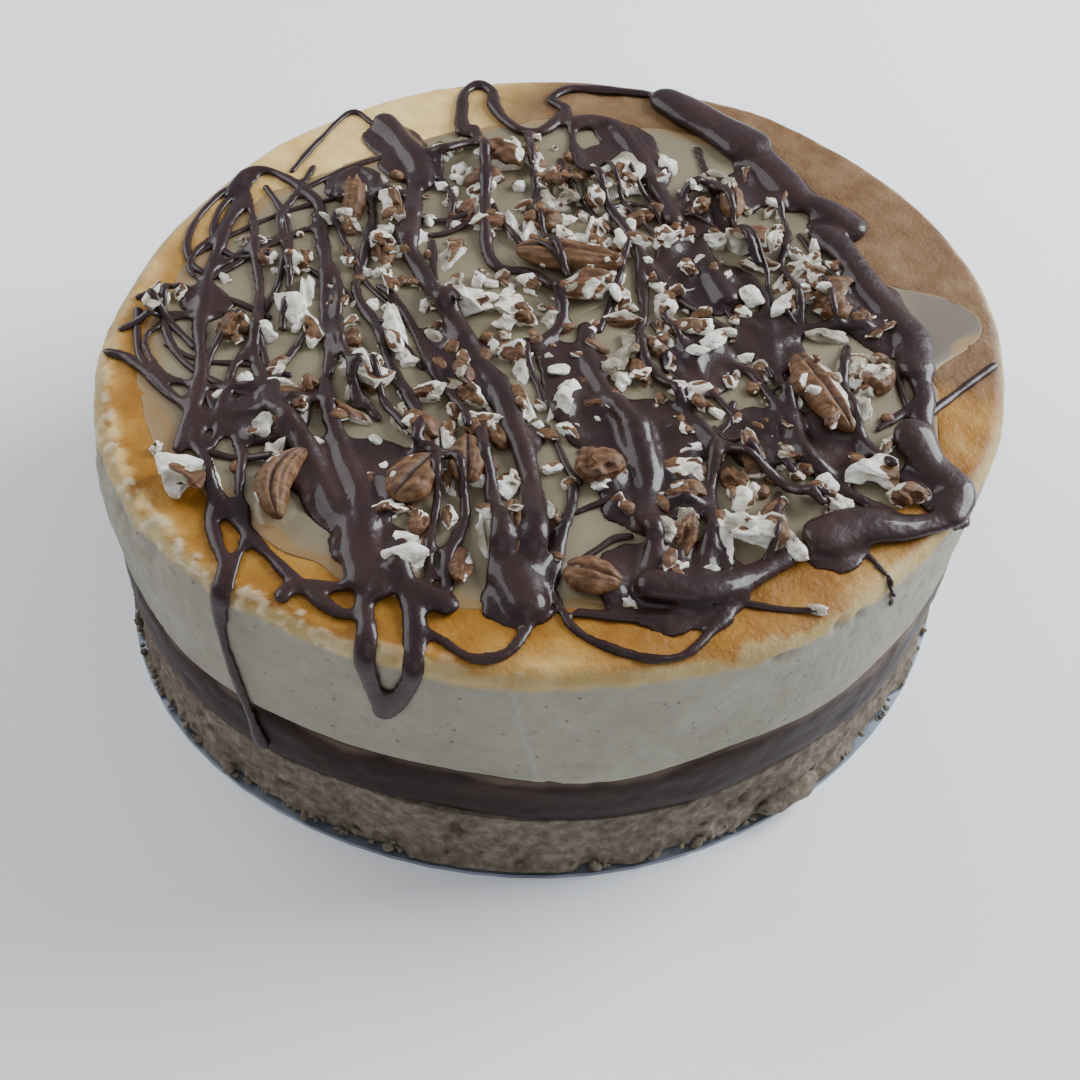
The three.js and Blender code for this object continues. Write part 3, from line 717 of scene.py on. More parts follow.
def raise_ground(x, y, length, width, turn, base, height):
    """Raises the height grid under an oval dome that stands on base."""
    reach = max(length, width) / 2 + 1
    i0, i1 = np.searchsorted(ticks, [x - reach, x + reach])
    j0, j1 = np.searchsorted(ticks, [y - reach, y + reach])
    gx, gy = GX[i0:i1, j0:j1] - x, GY[i0:i1, j0:j1] - y
    c, s = np.cos(turn), np.sin(turn)
    u = (gx * c + gy * s) / (length / 2)
    w = (-gx * s + gy * c) / (width / 2)
    d = 1 - u * u - w * w
    dome = np.where(d > 0, base + height * np.sqrt(np.maximum(d, 0)), FAR_BELOW)
    ground[i0:i1, j0:j1] = np.maximum(ground[i0:i1, j0:j1], dome)


def height_at(grid, x, y):
    """Height of a grid at points, blended between its cells."""
    fx = np.clip((x + HALF) / CELL, 0, len(ticks) - 1.001)
    fy = np.clip((y + HALF) / CELL, 0, len(ticks) - 1.001)
    i, j = fx.astype(int), fy.astype(int)
    tx, ty = fx - i, fy - j
    return (mix(grid[i, j], grid[i + 1, j], tx) * (1 - ty)
            + mix(grid[i, j + 1], grid[i + 1, j + 1], tx) * ty)


def height_under(x, y):
    """Height of the ground under one place."""
    return height_at(ground, np.array([x]), np.array([y]))[0]


def soft_ground():
    """The ground after a running average of about 3 mm both ways, for sauce that drapes over the nuts."""
    kernel = np.exp(-0.5 * (np.arange(-6, 7) / 2.6) ** 2)
    kernel /= kernel.sum()
    soft = ground
    for axis in (0, 1):
        soft = sum(w * np.roll(soft, n - 6, axis) for n, w in enumerate(kernel))
    return soft


# Pecans

def icosphere(level):
    """Unit sphere of triangles from an icosahedron, each triangle split in four level times."""
    g = (1 + 5 ** 0.5) / 2
    v = np.array([(-1, g, 0), (1, g, 0), (-1, -g, 0), (1, -g, 0), (0, -1, g), (0, 1, g), (0, -1, -g),
                  (0, 1, -g), (g, 0, -1), (g, 0, 1), (-g, 0, -1), (-g, 0, 1)], float)
    f = np.array([(0, 11, 5), (0, 5, 1), (0, 1, 7), (0, 7, 10), (0, 10, 11), (1, 5, 9), (5, 11, 4),
                  (11, 10, 2), (10, 7, 6), (7, 1, 8), (3, 9, 4), (3, 4, 2), (3, 2, 6), (3, 6, 8), (3, 8, 9),
                  (4, 9, 5), (2, 4, 11), (6, 2, 10), (8, 6, 7), (9, 8, 1)])
    for _ in range(level):
        edges = np.sort(np.concatenate([f[:, [0, 1]], f[:, [1, 2]], f[:, [2, 0]]]), axis=1)
        unique, back = np.unique(edges, axis=0, return_inverse=True)
        a, b, c = back.reshape(3, -1) + len(v)
        v = np.vstack([v, v[unique].mean(1)])
        f = np.concatenate([np.stack([f[:, 0], a, c], -1), np.stack([f[:, 1], b, a], -1),
                            np.stack([f[:, 2], c, b], -1), np.stack([a, b, c], -1)])
    return v / np.linalg.norm(v, axis=1, keepdims=True), f


SPHERES = [icosphere(level) for level in range(5)]


def spin(points, turn, tilt=0.0, roll=0.0):
    """Turns points about X by roll, about Y by tilt, then about Z by turn."""
    m = Matrix.Rotation(turn, 3, "Z") @ Matrix.Rotation(tilt, 3, "Y") @ Matrix.Rotation(roll, 3, "X")
    return points @ np.array(m).T


# Reach of a direction in which nothing cuts a lump, far past any real one
NO_CUT = 9.0


def broken_chunk(size, skin_share, draw, level, notches=0.0):
    """A broken lump: along each direction, the nearest of several random cutting planes or of the oval skin.

    The skin attribute is 1 where the oval skin is nearest; faces made by cuts are bare flesh. Notches bite
    in where noise is high, and finer noise roughens the whole."""
    directions, faces = SPHERES[level]
    normals = draw.normal(size=(8, 3))
    normals /= np.linalg.norm(normals, axis=1, keepdims=True)
    depths = draw.uniform(0.46, 0.85, 8)
    top = np.array([draw.uniform(-0.6, 0.6), draw.uniform(-0.9, 0.3), 1.0])
    top /= np.linalg.norm(top)
    if skin_share > 0.5:
        keep = normals @ top < 1.35 - 1.2 * skin_share
        normals, depths = normals[keep], depths[keep]
    facing = directions @ normals.T
    cuts = np.where(facing > 0.05, depths / np.maximum(facing, 0.05), NO_CUT).min(1, initial=NO_CUT)
    shell = np.full(len(directions), NO_CUT)
    some_skin = skin_share > 0.02
    if some_skin:
        shell = np.where(directions @ top > 1 - 1.7 * skin_share, mix(0.92, 0.78, 1 - skin_share), NO_CUT)
    r = np.minimum(np.minimum(cuts, shell), 1.12)
    skin = (shell <= cuts + 0.02).astype(float)
    seed = int(draw.integers(1, 9999))
    bite = smooth(0.1, 0.5, lumps(directions, 0.75, seed)) * notches
    r = r * (1 - bite) * (1 + 0.09 * lumps(directions, 0.3, seed + 1))
    skin = np.maximum(skin, smooth(0.35, 0.6, lumps(directions, 0.8, seed + 2)) * some_skin * 0.9)
    points = directions * r[:, None] * np.asarray(size) / 2 / 0.8
    ridges = np.abs(np.sin(6 * directions[:, 1] + 2 * directions[:, 0]))
    return points, faces, skin, skin * smooth(0.5, 0.95, ridges) * 0.4


def pecan_seat(x, y, height, lift, kind):
    """Height of a large piece's middle: it rests on the caramel, or on the bare rim outside it."""
    floor = POOL_TOP if in_pool(x, y) else TOP_Z + 0.3
    return floor + GAP + 0.05 + height * (0.375 if kind == "half" else 0.5) + lift


def pecan_half(length, width, height, seed):
    """Oval dome: U runs along the length, V round it. Across, the section is a circle squashed to the width
    and height. On top a deep groove runs lengthways between two lobed, wrinkled ridges."""
    U, V = np.meshgrid(np.linspace(-0.995, 0.995, 72), np.arange(64) / 64 * TAU, indexing="ij")
    wide = (1 - U ** 2) ** 0.5 * (1 - 0.12 * U)
    c, s = np.cos(V), np.sin(V)
    up = np.maximum(s, 0)
    places = np.stack([U * 3, c * 2, s * 2], -1)
    wrinkle = 0.05 * crags(places * (0.5, 1.6, 1.6), 0.8, seed, 3)
    furrow = bell(c, 0.16) * up
    side_furrows = bell(np.abs(c) - 0.52, 0.09) * up * (0.6 + 0.4 * np.sin(11 * U + seed))
    r = 1 + wrinkle - 0.34 * furrow - 0.13 * side_furrows + 0.04 * np.cos(9 * U + 3 * c)
    under = np.where(s < 0, 0.75, 1.0)
    X = U * length / 2
    Y = c * r * wide * width / 2
    Z = s * r * under * (1 - U ** 2) ** 0.42 * height / 2
    # The second value marks the furrows, where the colour gets painted shade.
    return np.stack([X, Y, Z], -1), np.clip(0.75 * furrow + 0.5 * side_furrows, 0, 1)


# Numbers of the halves that differ: one is curled, one has lost an edge, two have darker painted shade in
# their grooves
CURLED = 2
CUT_EDGE = 3
DARKER_GROOVE_SHADE = (4, 5)


def whole_half(index, length, width, height):
    """Points, faces, skin and groove of one half: skin worn off in small patches, and what sets it apart."""
    grid, groove = pecan_half(length, width, height, 200 + index)
    points = with_poles(grid)
    faces = [f[::-1] for f in round_faces(*grid.shape[:2])]
    groove = np.append(groove.ravel(), [0, 0])
    skin = 1 - smooth(0.55, 1.0, crags(points, 3.0, 300 + index, 2)) * 0.9
    if index in DARKER_GROOVE_SHADE:
        # These two get darker painted shade in their grooves.
        groove = np.clip(groove * 1.6, 0, 1)
    if index == CURLED:
        bend = (points[:, 0] / (length / 2)) ** 2
        points[:, 1] = points[:, 1] * 0.86 + 1.4 - 3.4 * bend
    if index == CUT_EDGE:
        bare = smooth(0.25, 0.5, points[:, 1] / (width / 2)) * (points[:, 2] > -0.5)
        skin, groove = skin * (1 - bare), groove * (1 - bare)
    return points, faces, skin, groove


def large_pecans():
    """One piece for each large solid, finer than it, and the height grid raised under each."""
    for index, (x, y, length, width, height, turn, lift, kind) in enumerate(PECANS, 1):
        angle = np.radians(turn)
        z = pecan_seat(x, y, height, lift, kind)
        name = f"nut_{kind}_{index}"
        if kind == "half":
            points, faces, skin, groove = whole_half(index, length, width, height)
        else:
            size = np.array([length, width, height])
            draw = np.random.default_rng(400 + index)
            points, faces, skin, groove = broken_chunk(size, CHUNK_SKIN[index], draw, 4, 0.42)
            points = np.clip(points, -size / 2, size / 2)
        points = spin(points, angle) + (x, y, z)
        piece = make(name, points, faces, NUT, smooth_shade=kind == "half", skin=skin, groove=groove)
        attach(piece, "root")
        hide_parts(f"pecan_{kind}_{index}")
        raise_ground(x, y, length, width, angle, z - 0.3, height / 2 + 0.3)


# Chopped pecans that can be told apart: x, y, length, width, turn in degrees, share of skin
CHOPPED = [
    (-51, 13, 4, 4, 10, 0), (-41, 8, 14, 3.6, -78, 0.1), (-45, 10, 4, 3, 20, 0), (-28, 19, 8, 4, 60, 0),
    (-64, 9, 11, 5, -62, 0.1), (-59, 2, 12, 3.8, -70, 0), (-69, 26, 5, 3, 80, 0.2),
    (-54, 29, 5, 3, -70, 0.2), (-34, 59, 5, 4.5, 10, 0), (-30, 64, 5, 3, 80, 0), (-7, 44, 7, 4, -75, 0.1),
    (-2.5, 42, 5, 3.5, 40, 0.1), (-23, 37, 14, 3, -80, 0.2), (-14, 31, 9, 3.6, -75, 0.1),
    (-10.5, 30, 9, 3.4, 78, 0.1), (-2, 29, 6, 4, -55, 0.1), (-50, 46, 5, 3, 10, 0.3),
    (-12, 60, 11, 6, -80, 0.85), (-23, 49, 8, 6, 10, 0.95), (-54, 37, 13, 5, -80, 0.9),
    (-44, 17, 10, 4.6, -75, 0.85), (-8, 35, 9, 6, 15, 0.85), (-8, 10, 6, 4, -20, 0.8),
    (-6, 55, 7, 3, 80, 0.7), (3, 53, 10, 3, -65, 0.05), (0.5, 48, 7, 3, -75, 0.1),
    (4, 44, 6, 2.8, -70, 0.2), (22, 63, 5, 4, -70, 0.05), (31, 55, 6, 5, -10, 0.1),
    (37, 56, 5, 4, 80, 0.2), (42, 62, 9, 3, 84, 0.1), (50, 51, 11, 4, 75, 0.15), (49.5, 41, 4, 3, 60, 0),
    (31, 42, 8, 4, -65, 0), (25, 37, 6, 3, -70, 0.1), (34.5, 34, 5, 4, -30, 0.1),
    (48, 31, 6, 3.6, 60, 0.1), (53, 31, 6, 4.5, -40, 0), (63, 26, 6, 3, 70, 0.1),
    (71.5, 6, 7, 4.5, 30, 0.05), (52, 12, 12, 6, 70, 0.15), (50, 20, 6, 3, 60, 0.1),
    (27, 20.5, 5, 4, -50, 0), (20, 14.5, 5, 3.8, -60, 0), (23, 6.5, 7, 4, -65, 0.1), (13, 9, 9, 4, -72, 0),
    (28, 0, 8, 7, 40, 0.1), (33, -4, 8, 4, 60, 0.05), (5, 32, 8, 4.5, 80, 0.2), (19, 42, 7, 5, 20, 0.9),
    (12, 27, 7, 4, -80, 0.9), (23, 30, 6, 5, 10, 0.6), (61, 20, 10, 5, 15, 0.85), (67, 8, 6, 5, 70, 0.8),
    (13, 2, 7, 4, 5, 0.4), (60, 3, 8, 3.6, 10, 0.3), (57, 25, 8, 6, 10, 0.2), (46, 25, 8, 4, -5, 0.2),
    (-14, 3, 8, 5, 60, 0.1), (-10, -2, 6, 5, -30, 0.1), (-87, -3, 5, 3.4, -60, 0),
    (-62, -5, 10, 6, -48, 0.05), (-55.5, -12, 8, 4, -65, 0.1), (-38, -11, 14, 5, -78, 0.1),
    (-34, -18, 6, 4, -60, 0.2), (-24, -12, 6, 4, 30, 0), (-22, -17, 7, 3, -80, 0),
    (-20, -22, 6, 2.6, -80, 0.1), (-22, -26, 4.5, 4, 0, 0.2), (-28, -29, 8, 5, -10, 0.1),
    (-58, -30, 7, 3, 10, 0.1), (-53, -31, 7, 3, -80, 0), (-57, -33, 6, 4, 5, 0.95),
    (-66, -30, 6, 3, -60, 0.1), (-45, -36, 11, 4, -30, 0.4), (-32.5, -37, 10, 3, -68, 0.05),
    (-22, -39, 8, 3.6, -85, 0.05), (-9, -14, 7, 5, 10, 0), (-8, -28, 9, 5, -70, 0.2),
    (-18, -36, 5, 3.6, 0, 0.1), (-60.5, -45, 6, 6, 30, 0.2), (-56, -44, 6, 5, 10, 0.9),
    (-57, -49.5, 6, 4.5, 70, 0), (-50, -46, 5, 3, -10, 0.2), (-8, -52, 6, 5, -60, 0),
    (-20, -55, 6, 3, -70, 0.1), (-19, -63, 7, 3, -75, 0), (-12, -65, 13, 4, -86, 0.15),
    (-26, -75, 8, 6, -50, 0.1), (-31, -63, 7, 4, 15, 0.2), (-67, -59, 9, 3, -65, 0),
    (-80.5, -52, 3.5, 3, 10, 0), (-15.5, -75, 9, 4, -85, 0.85), (-27, -41, 10, 6, -62, 0.95),
    (-12, -39, 7, 4.5, -60, 0.9), (1, -29, 7, 4.6, 75, 0), (13, -28, 5, 4, 80, 0.1),
    (16, -7, 9, 4.6, -75, 0), (12.5, -12, 7, 4, 60, 0), (17.5, -15, 8, 3.6, -75, 0.85),
    (24.5, -12, 7, 3, -75, 0), (29, -22, 13, 4, -60, 0.05), (26, -32, 6, 4, -50, 0.1),
    (28, -44.5, 7, 5, -10, 0), (28, -51, 7, 6, 5, 0.9), (42, -39, 8, 7, 30, 0.15), (47, -39, 5, 3, -70, 0),
    (46, -43.5, 4, 3, -60, 0.8), (58, -49, 8, 5, -60, 0.1), (45, -12, 5, 3.4, -60, 0),
    (51, -20, 7, 3, -75, 0.1), (64, -8, 10, 5, 50, 0), (67, -15, 5, 4, 40, 0.1), (65, -22, 7, 6, 10, 0.2),
    (71, -31, 11, 5, 55, 0.05), (35, -65, 10, 4.6, -70, 0), (50, -62, 6, 4.6, -70, 0),
    (14.5, -55, 5, 4, 80, 0.1), (1, -61, 8, 4.5, -65, 0), (16, -80, 5, 3.6, -20, 0.1),
    (17.5, -17.5, 6, 3, 5, 0.1), (12, -50, 7, 3, 20, 0.1), (26.5, -63, 11, 6, 78, 0.95),
    (26, -72, 6, 5, 20, 0.4), (38, -46, 7, 4, -50, 0.85), (46, -54, 7, 5, 70, 0.6),
    (70, -11, 8, 6, 70, 0.7), (74, -45, 7, 5, 20, 0.7), (-73, -13, 7, 5, 70, 0.85),
    (-47, -14, 6, 5, 20, 0.8), (-51, -2, 6, 4, 60, 0.8), (-26, -20, 7, 4, -60, 0.7),
    (-18, -28, 6, 6, 40, 0.75), (-66, -14, 5, 4, -40, 0.4), (53.5, -77, 3.2, 2.6, 30, 0),
]
# Heaps of middling bits between them: x, y, spread, count
HEAPS = [
    (10, 38, 9, 20), (-5, 50, 8, 16), (27, 48, 9, 14), (-44, 20, 8, 13), (-14, -30, 9, 11),
    (56, 20, 8, 10), (-54, -38, 7, 8), (30, 10, 9, 12), (-24, 34, 8, 11), (48, -36, 9, 10),
    (8, -24, 10, 12), (-60, 4, 8, 9), (62, -22, 8, 9), (-20, -64, 8, 7), (28, -60, 9, 8), (-10, 14, 9, 9),
    (30, -30, 9, 9),
]
# Finer bits scattered over the whole pool, and the seed that all chopped pecans are drawn with
SCRAPS = 230
CHOPPED_SEED = 7


def placed_bits(draw):
    """The chopped bits of the table, each turned, tilted and sunk a little; the ground rises under each."""
    for x, y, length, width, turn, share in CHOPPED:
        size = np.array([length * 1.08, width * 1.08, min(width, length) * draw.uniform(0.7, 0.95)])
        share = share if share > 0.5 else draw.choice([0.0, 0.25, 0.4])
        points, *rest = broken_chunk(size, share, draw, 3 if length > 6.5 else 2, notches=0.5)
        z = min(height_under(x, y), POOL_TOP + 4) + size[2] * 0.3
        tilt, roll = draw.uniform(-0.35, 0.35, 2)
        yield spin(points, np.radians(turn), tilt, roll) + (x, y, z), *rest
        raise_ground(x, y, length, width, np.radians(turn), z - 0.2, size[2] / 2)


def heaped_bits(draw):
    """Middling bits in heaps, thickest in the middle of each; the ground rises under each bit."""
    for x0, y0, spread, count in HEAPS:
        for x, y in draw.normal(size=(count, 2)) * spread + (x0, y0):
            form = draw.uniform(2.4, 4.6) * np.array([draw.uniform(1, 1.8), 1, 0.75])
            level = 2 if form[1] > 3.4 else 1
            points, *rest = broken_chunk(form, draw.choice([0, 0.3, 0.9]), draw, level, notches=0.4)
            z = min(height_under(x, y), POOL_TOP + 3.5) + form[2] * 0.28
            turn = draw.uniform(0, TAU)
            yield spin(points, turn, draw.uniform(-0.5, 0.5)) + (x, y, z), *rest
            raise_ground(x, y, form[0], form[1], turn, z - 0.2, form[2] / 2)


def scattered_bits(draw):
    """The finest bits: places drawn until enough of them lie in the pool and none stands on top of a nut."""
    count = 0
    while count < SCRAPS:
        x, y = draw.normal(size=2) * (40, 36) + (2, 0)
        if not in_pool(x, y, 7):
            continue
        size = draw.uniform(1.3, 3.4)
        share = draw.choice([0, 0.3, 0.6, 0.95], p=[0.25, 0.25, 0.2, 0.3])
        form = np.array([size * draw.uniform(1, 2.0), size, size * 0.75])
        points, *rest = broken_chunk(form, share, draw, 1 if size > 2.4 else 0)
        z = height_under(x, y) + size * 0.25
        if z > POOL_TOP + 6:
            continue
        count += 1
        yield spin(points, draw.uniform(0, TAU), draw.uniform(-0.5, 0.5)) + (x, y, z), *rest


def chopped_pecans():
    """Two pieces: the chopped bits placed one by one, and the finer scraps in heaps and scattered between
    them, all from one seeded draw."""
    draw = np.random.default_rng(CHOPPED_SEED)
    parts = list(placed_bits(draw))
    scraps = list(heaped_bits(draw)) + list(scattered_bits(draw))
    for name, group in (("chopped_pecans", parts), ("pecan_scraps", scraps)):
        skin, groove = (np.concatenate([part[n] for part in group]) for n in (2, 3))
        piece = make(name, *join(group), NUT, smooth_shade=False, skin=skin, groove=groove)
        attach(piece, "root")


# Chocolate drizzle

def along(points, step):
    """Smooth line through points: a centripetal Catmull-Rom curve, resampled at equal steps."""
    p = np.asarray(points, float)
    p = np.vstack([2 * p[0] - p[1], p, 2 * p[-1] - p[-2]])
    gaps = np.sqrt(np.linalg.norm(np.diff(p, axis=0), axis=1)) + 1e-6
    t = np.concatenate([[0], np.cumsum(gaps)])
    out = []
    for i in range(1, len(p) - 2):
        s = np.linspace(t[i], t[i + 1], 40, endpoint=False)[:, None]
        a1 = mix(p[i - 1], p[i], (s - t[i - 1]) / (t[i] - t[i - 1]))
        a2 = mix(p[i], p[i + 1], (s - t[i]) / (t[i + 1] - t[i]))
        a3 = mix(p[i + 1], p[i + 2], (s - t[i + 1]) / (t[i + 2] - t[i + 1]))
        b1 = mix(a1, a2, (s - t[i - 1]) / (t[i + 1] - t[i - 1]))
        b2 = mix(a2, a3, (s - t[i]) / (t[i + 2] - t[i]))
        out.append(mix(b1, b2, (s - t[i]) / (t[i + 1] - t[i])))
    line = np.vstack(out + [p[-2:-1]])
    run = np.concatenate([[0], np.cumsum(np.linalg.norm(np.diff(line, axis=0), axis=1))])
    s = np.linspace(0, run[-1], max(4, int(run[-1] / step)))
    return np.stack([np.interp(s, run, line[:, k]) for k in range(line.shape[1])], -1), s


def soften(values, width):
    """Running Gaussian average of a row of numbers, ends held."""
    n = int(width * 3) + 1
    kernel = np.exp(-0.5 * (np.arange(-n, n + 1) / width) ** 2)
    return np.convolve(np.pad(values, n, mode="edge"), kernel / kernel.sum(), mode="valid")


# Height over half width of a narrow stroke above its middle line, and the same below it
SQUASH = 0.8
SAG = 0.45


def rope(line, radii, up, sides):
    """Closed rope: at each step of the line a ring of the given radius, flattened above and more so below.

    Above, the height is the radius times SQUASH, eased so that wide ropes stay low. Below, it is the radius
    times SAG. The ends close through four shrinking rings and a single point."""
    tangent = np.gradient(line, axis=0)
    tangent /= np.linalg.norm(tangent, axis=1, keepdims=True) + 1e-9
    side = np.cross(tangent, up)
    side /= np.linalg.norm(side, axis=1, keepdims=True) + 1e-9
    lift = np.cross(side, tangent)
    close = np.array([0.2, 0.45, 0.7, 0.9])
    cap = np.sqrt(1 - close ** 2)
    first = line[0] - tangent[0] * radii[0] * close[::-1, None]
    last = line[-1] + tangent[-1] * radii[-1] * close[:, None]
    centre = np.vstack([first, line, last])
    r = np.concatenate([radii[0] * cap[::-1], radii, radii[-1] * cap])
    side, lift = (np.vstack([np.repeat(v[:1], 4, 0), v, np.repeat(v[-1:], 4, 0)]) for v in (side, lift))
    phi = np.arange(sides) / sides * TAU
    c, s = np.cos(phi), np.sin(phi)
    above = SQUASH * r / (1 + 0.14 * r)
    tall = np.where(s[None, :] > 0, above[:, None], SAG * r[:, None])
    rings = (centre[:, None] + side[:, None] * (r[:, None] * c)[..., None]
             + lift[:, None] * (s * tall)[..., None])
    ends = [line[0] - tangent[0] * radii[0], line[-1] + tangent[-1] * radii[-1]]
    return np.vstack([rings.reshape(-1, 3), *ends]), round_faces(len(centre), sides)


# The sauce follows points picked by hand in the picture. For many rows of these tables a scratch program
# turned those points into the millimetres and degrees that stand here; the rest were placed by hand

# Strokes on the top: radius at the start, radius at the end, then x, y pairs
THICK = [
    (1.9, 2.0, -84, 35, -82, 45, -78, 47, -73, 45, -66, 39, -62, 34, -59, 24, -57, 14, -55, 2, -53, -9,
     -50, -20, -50, -29),
    (2.2, 3.4, -50, -29, -47, -38, -44, -45, -41, -52, -38, -58, -36, -65, -35, -71, -32, -77, -30, -83),
    (1.5, 2.0, -81, 39, -78, 31, -75, 21, -73, 12, -70, 2, -68, -9, -67, -18, -65, -25),
    (2.2, 3.2, -65, -25, -62, -31, -60, -37, -57, -40, -52, -46, -49, -51, -46, -57, -42, -63, -38, -68,
     -36, -75, -34, -81),
    (1.3, 1.2, -79, 45, -82, 32, -84, 20, -87, 12, -87, 6, -84, 3, -80, 8, -75, 15, -68, 21, -62, 25,
     -58, 27),
    (2.0, 2.3, -80, 33, -82, 23, -82, 13, -82, 3, -81, -6, -80, -15, -77, -26, -76, -36, -76, -46,
     -76, -51),
    (1.3, 1.4, -80, -10, -86, -11, -89, -14, -91, -19, -89, -24, -84, -30, -78, -32, -72, -32, -65, -31,
     -61, -31),
    (1.6, 1.8, -98, -24, -94, -25, -89, -29, -83, -34, -77, -39, -71, -43),
    (2.2, 1.8, -74, -43, -73, -49, -70, -54, -68, -59, -66, -63, -60, -69, -52, -77, -44, -84, -36, -89,
     -33, -88, -32, -84),
    (1.8, 1.8, -68, -19, -70, -25, -70, -33, -70, -41, -69, -46, -70, -50),
    (1.8, 1.8, -73, -41, -68, -40, -62, -38, -56, -36, -51, -34),
    (1.5, 1.7, -69, -41, -66, -46, -63, -51, -62, -57, -61, -63, -59, -66),
    (2.4, 1.2, -48, -86, -47, -84, -44, -83, -40, -83, -35, -82),
    (1.6, 1.6, -43, -24, -44, -28, -41, -32, -38, -36, -37, -37),
    (2.0, 1.7, -57, 36, -58, 44, -55, 50, -50, 47, -48, 40, -44, 41, -40, 40),
    (1.7, 2.0, -51, 43, -48, 28, -48, 15, -48, 3, -42, -8, -38, -18, -34, -26, -30, -33, -28, -38,
     -28, -44),
    (1.7, 1.7, -62, 30, -58, 16, -52, 4, -50, -10, -45, -24, -42, -34),
    (3.9, 2.8, -51, 71, -45, 63, -40, 54, -38, 46),
    (2.0, 2.0, -49, 64, -42, 59, -35, 59, -30, 63, -27, 65),
    (2.3, 2.0, -31, 70, -32, 79, -32, 89, -29, 93, -25, 90, -24, 84, -20, 77, -16, 73, -11, 73, -7, 79,
     -5, 85, -9, 89, -5, 95, 3, 96, 16, 96),
    (1.8, 1.8, -5, 85, -3, 78, -2, 69, 0, 60, 4, 52, 8, 42, 12, 35, 16, 25, 17, 15, 18, 5, 17, -4, 19, -13,
     25, -21, 30, -30, 35, -37, 44, -43, 55, -51),
    (2.0, 2.0, -28, 72, -25, 62, -23, 51, -22, 40, -21, 30, -19, 20, -16, 16, -11, 16, -5, 12, -1, 5,
     -1, -3, -4, -7),
    (3.0, 2.6, -2, 78, 3, 80, 8, 79, 11, 74, 15, 66, 18, 56, 22, 47, 24, 39),
    (2.8, 3.0, -40, 47, -39, 32, -38, 19, -34, 12, -30, 4, -26, -3, -21, -12, -18, -17, -14, -23, -11, -30,
     -9, -36, -6, -43, -4, -50, -3, -57, -2, -66, -2, -76),
    (1.6, 1.6, -43, 5, -38, 0, -33, -9, -29, -18, -25, -26, -22, -30, -19, -35, -18, -39),
    (1.5, 1.6, -28, -46, -25, -46, -23, -52, -22, -59, -22, -66, -22, -72, -21, -79),
    (1.6, 1.9, -25, -45, -22, -48, -19, -50, -17, -56, -16, -62, -17, -69, -18, -74, -17, -82),
    (1.8, 2.8, -15, -40, -14, -46, -12, -52, -11, -58, -9, -64, -8, -70, -8, -77),
    (1.8, 2.2, 5, -51, 5, -57, 4, -62, 3, -68, 2, -78),
    (1.3, 1.4, -7, -11, -5, -9, -2, -5, 1, -1),
    (6.2, 6.6, 22, 92, 28, 87, 36, 80, 42, 74),
    (6.2, 3.6, 42, 74, 47, 67, 51, 61, 56, 53),
    (3.6, 4.2, 56, 53, 60, 51, 65, 47, 68, 44),
    (4.0, 4.4, 61, 39, 64, 35, 67, 28, 70, 22, 73, 16, 76, 10, 79, 3, 79, -6),
    (3.4, 2.6, 79, -6, 80, -14, 79, -22, 79, -29),
    (2.0, 1.8, 60, 52, 68, 51, 71, 47),
    (1.7, 1.6, 25, 43, 27, 51, 31, 54, 34, 52, 36, 48),
    (2.0, 3.0, 31, 34, 33, 22, 37, 12),
    (1.8, 1.8, 16, 26, 20, 19, 23, 13, 27, 9, 32, 4, 37, 1),
    (2.0, 2.2, 42, 21, 45, 16, 46, 10, 47, 3, 47, -6, 48, -14, 50, -22, 53, -37, 61, -44),
    (1.8, 1.7, 38, -10, 42, -12, 44, -16, 47, -22, 54, -37, 60, -45, 70, -50),
    (1.8, 1.8, 43, 4, 48, -2, 51, 2, 56, 4, 63, 6, 68, 6),
    (1.4, 1.4, 59, 19, 60, 13, 61, 7, 63, 6),
    (1.4, 1.6, 69, -26, 73, -22, 77, -18),
    (2.2, 2.8, 5, -2, 6, -12, 12, -26, 17, -34),
    (3.4, 2.2, 17, -34, 20, -47, 20, -58, 22, -66, 20, -77),
    (2, 2, 34, -38, 33, -50, 33, -62, 31, -74),
    (5, 5, -5, -76, -2, -83),
    (3, 2.8, -31, -80, -24, -82, -17, -85),
    (1.6, 1.5, -1, -88, -5, -95, -11, -96.5, -17, -93, -22, -90),
    (4, 2.8, 22, -77, 30, -77, 38, -73, 48, -65),
    (5.4, 3, 56, -59, 62, -55.5, 72, -54, 80, -51),
    (3.4, 5.6, 82, -49, 84, -42, 79, -36, 76, -30),
    (1.5, 1.5, 3, -80, 8, -88, 20, -92.5, 28, -91, 35, -82, 40, -76),
    (1.8, 1.6, 8, -83.5, 20, -83.5, 34, -80),
    (1.4, 1.4, 18, -54, 26, -53, 34, -54),
    (1.6, 1.6, -47, -50, -41, -60, -37, -70),
    (1.5, 1.5, -14, 70, -12, 58, -10, 46, -8, 34, -4, 22, 0, 12),
    (1.4, 1.6, 30, 72, 33, 58, 37, 46, 40, 34, 44, 24),
    (1.4, 1.4, -66, 50, -68, 38, -70, 26, -66, 14, -63, 2, -62, -12),
    (1.5, 1.5, 50, 50, 52, 38, 50, 26, 53, 14, 54, 4),
    (1.4, 1.4, 22, 4, 28, -8, 34, -20, 42, -30, 50, -42),
    (1.6, 1.8, 64, 0, 62, -14, 64, -28, 70, -40),
    (1.4, 1.4, -36, 64, -34, 50, -30, 40, -30, 28),
    (1.4, 1.5, -57, -14, -60, -26, -58, -38, -54, -48),
]
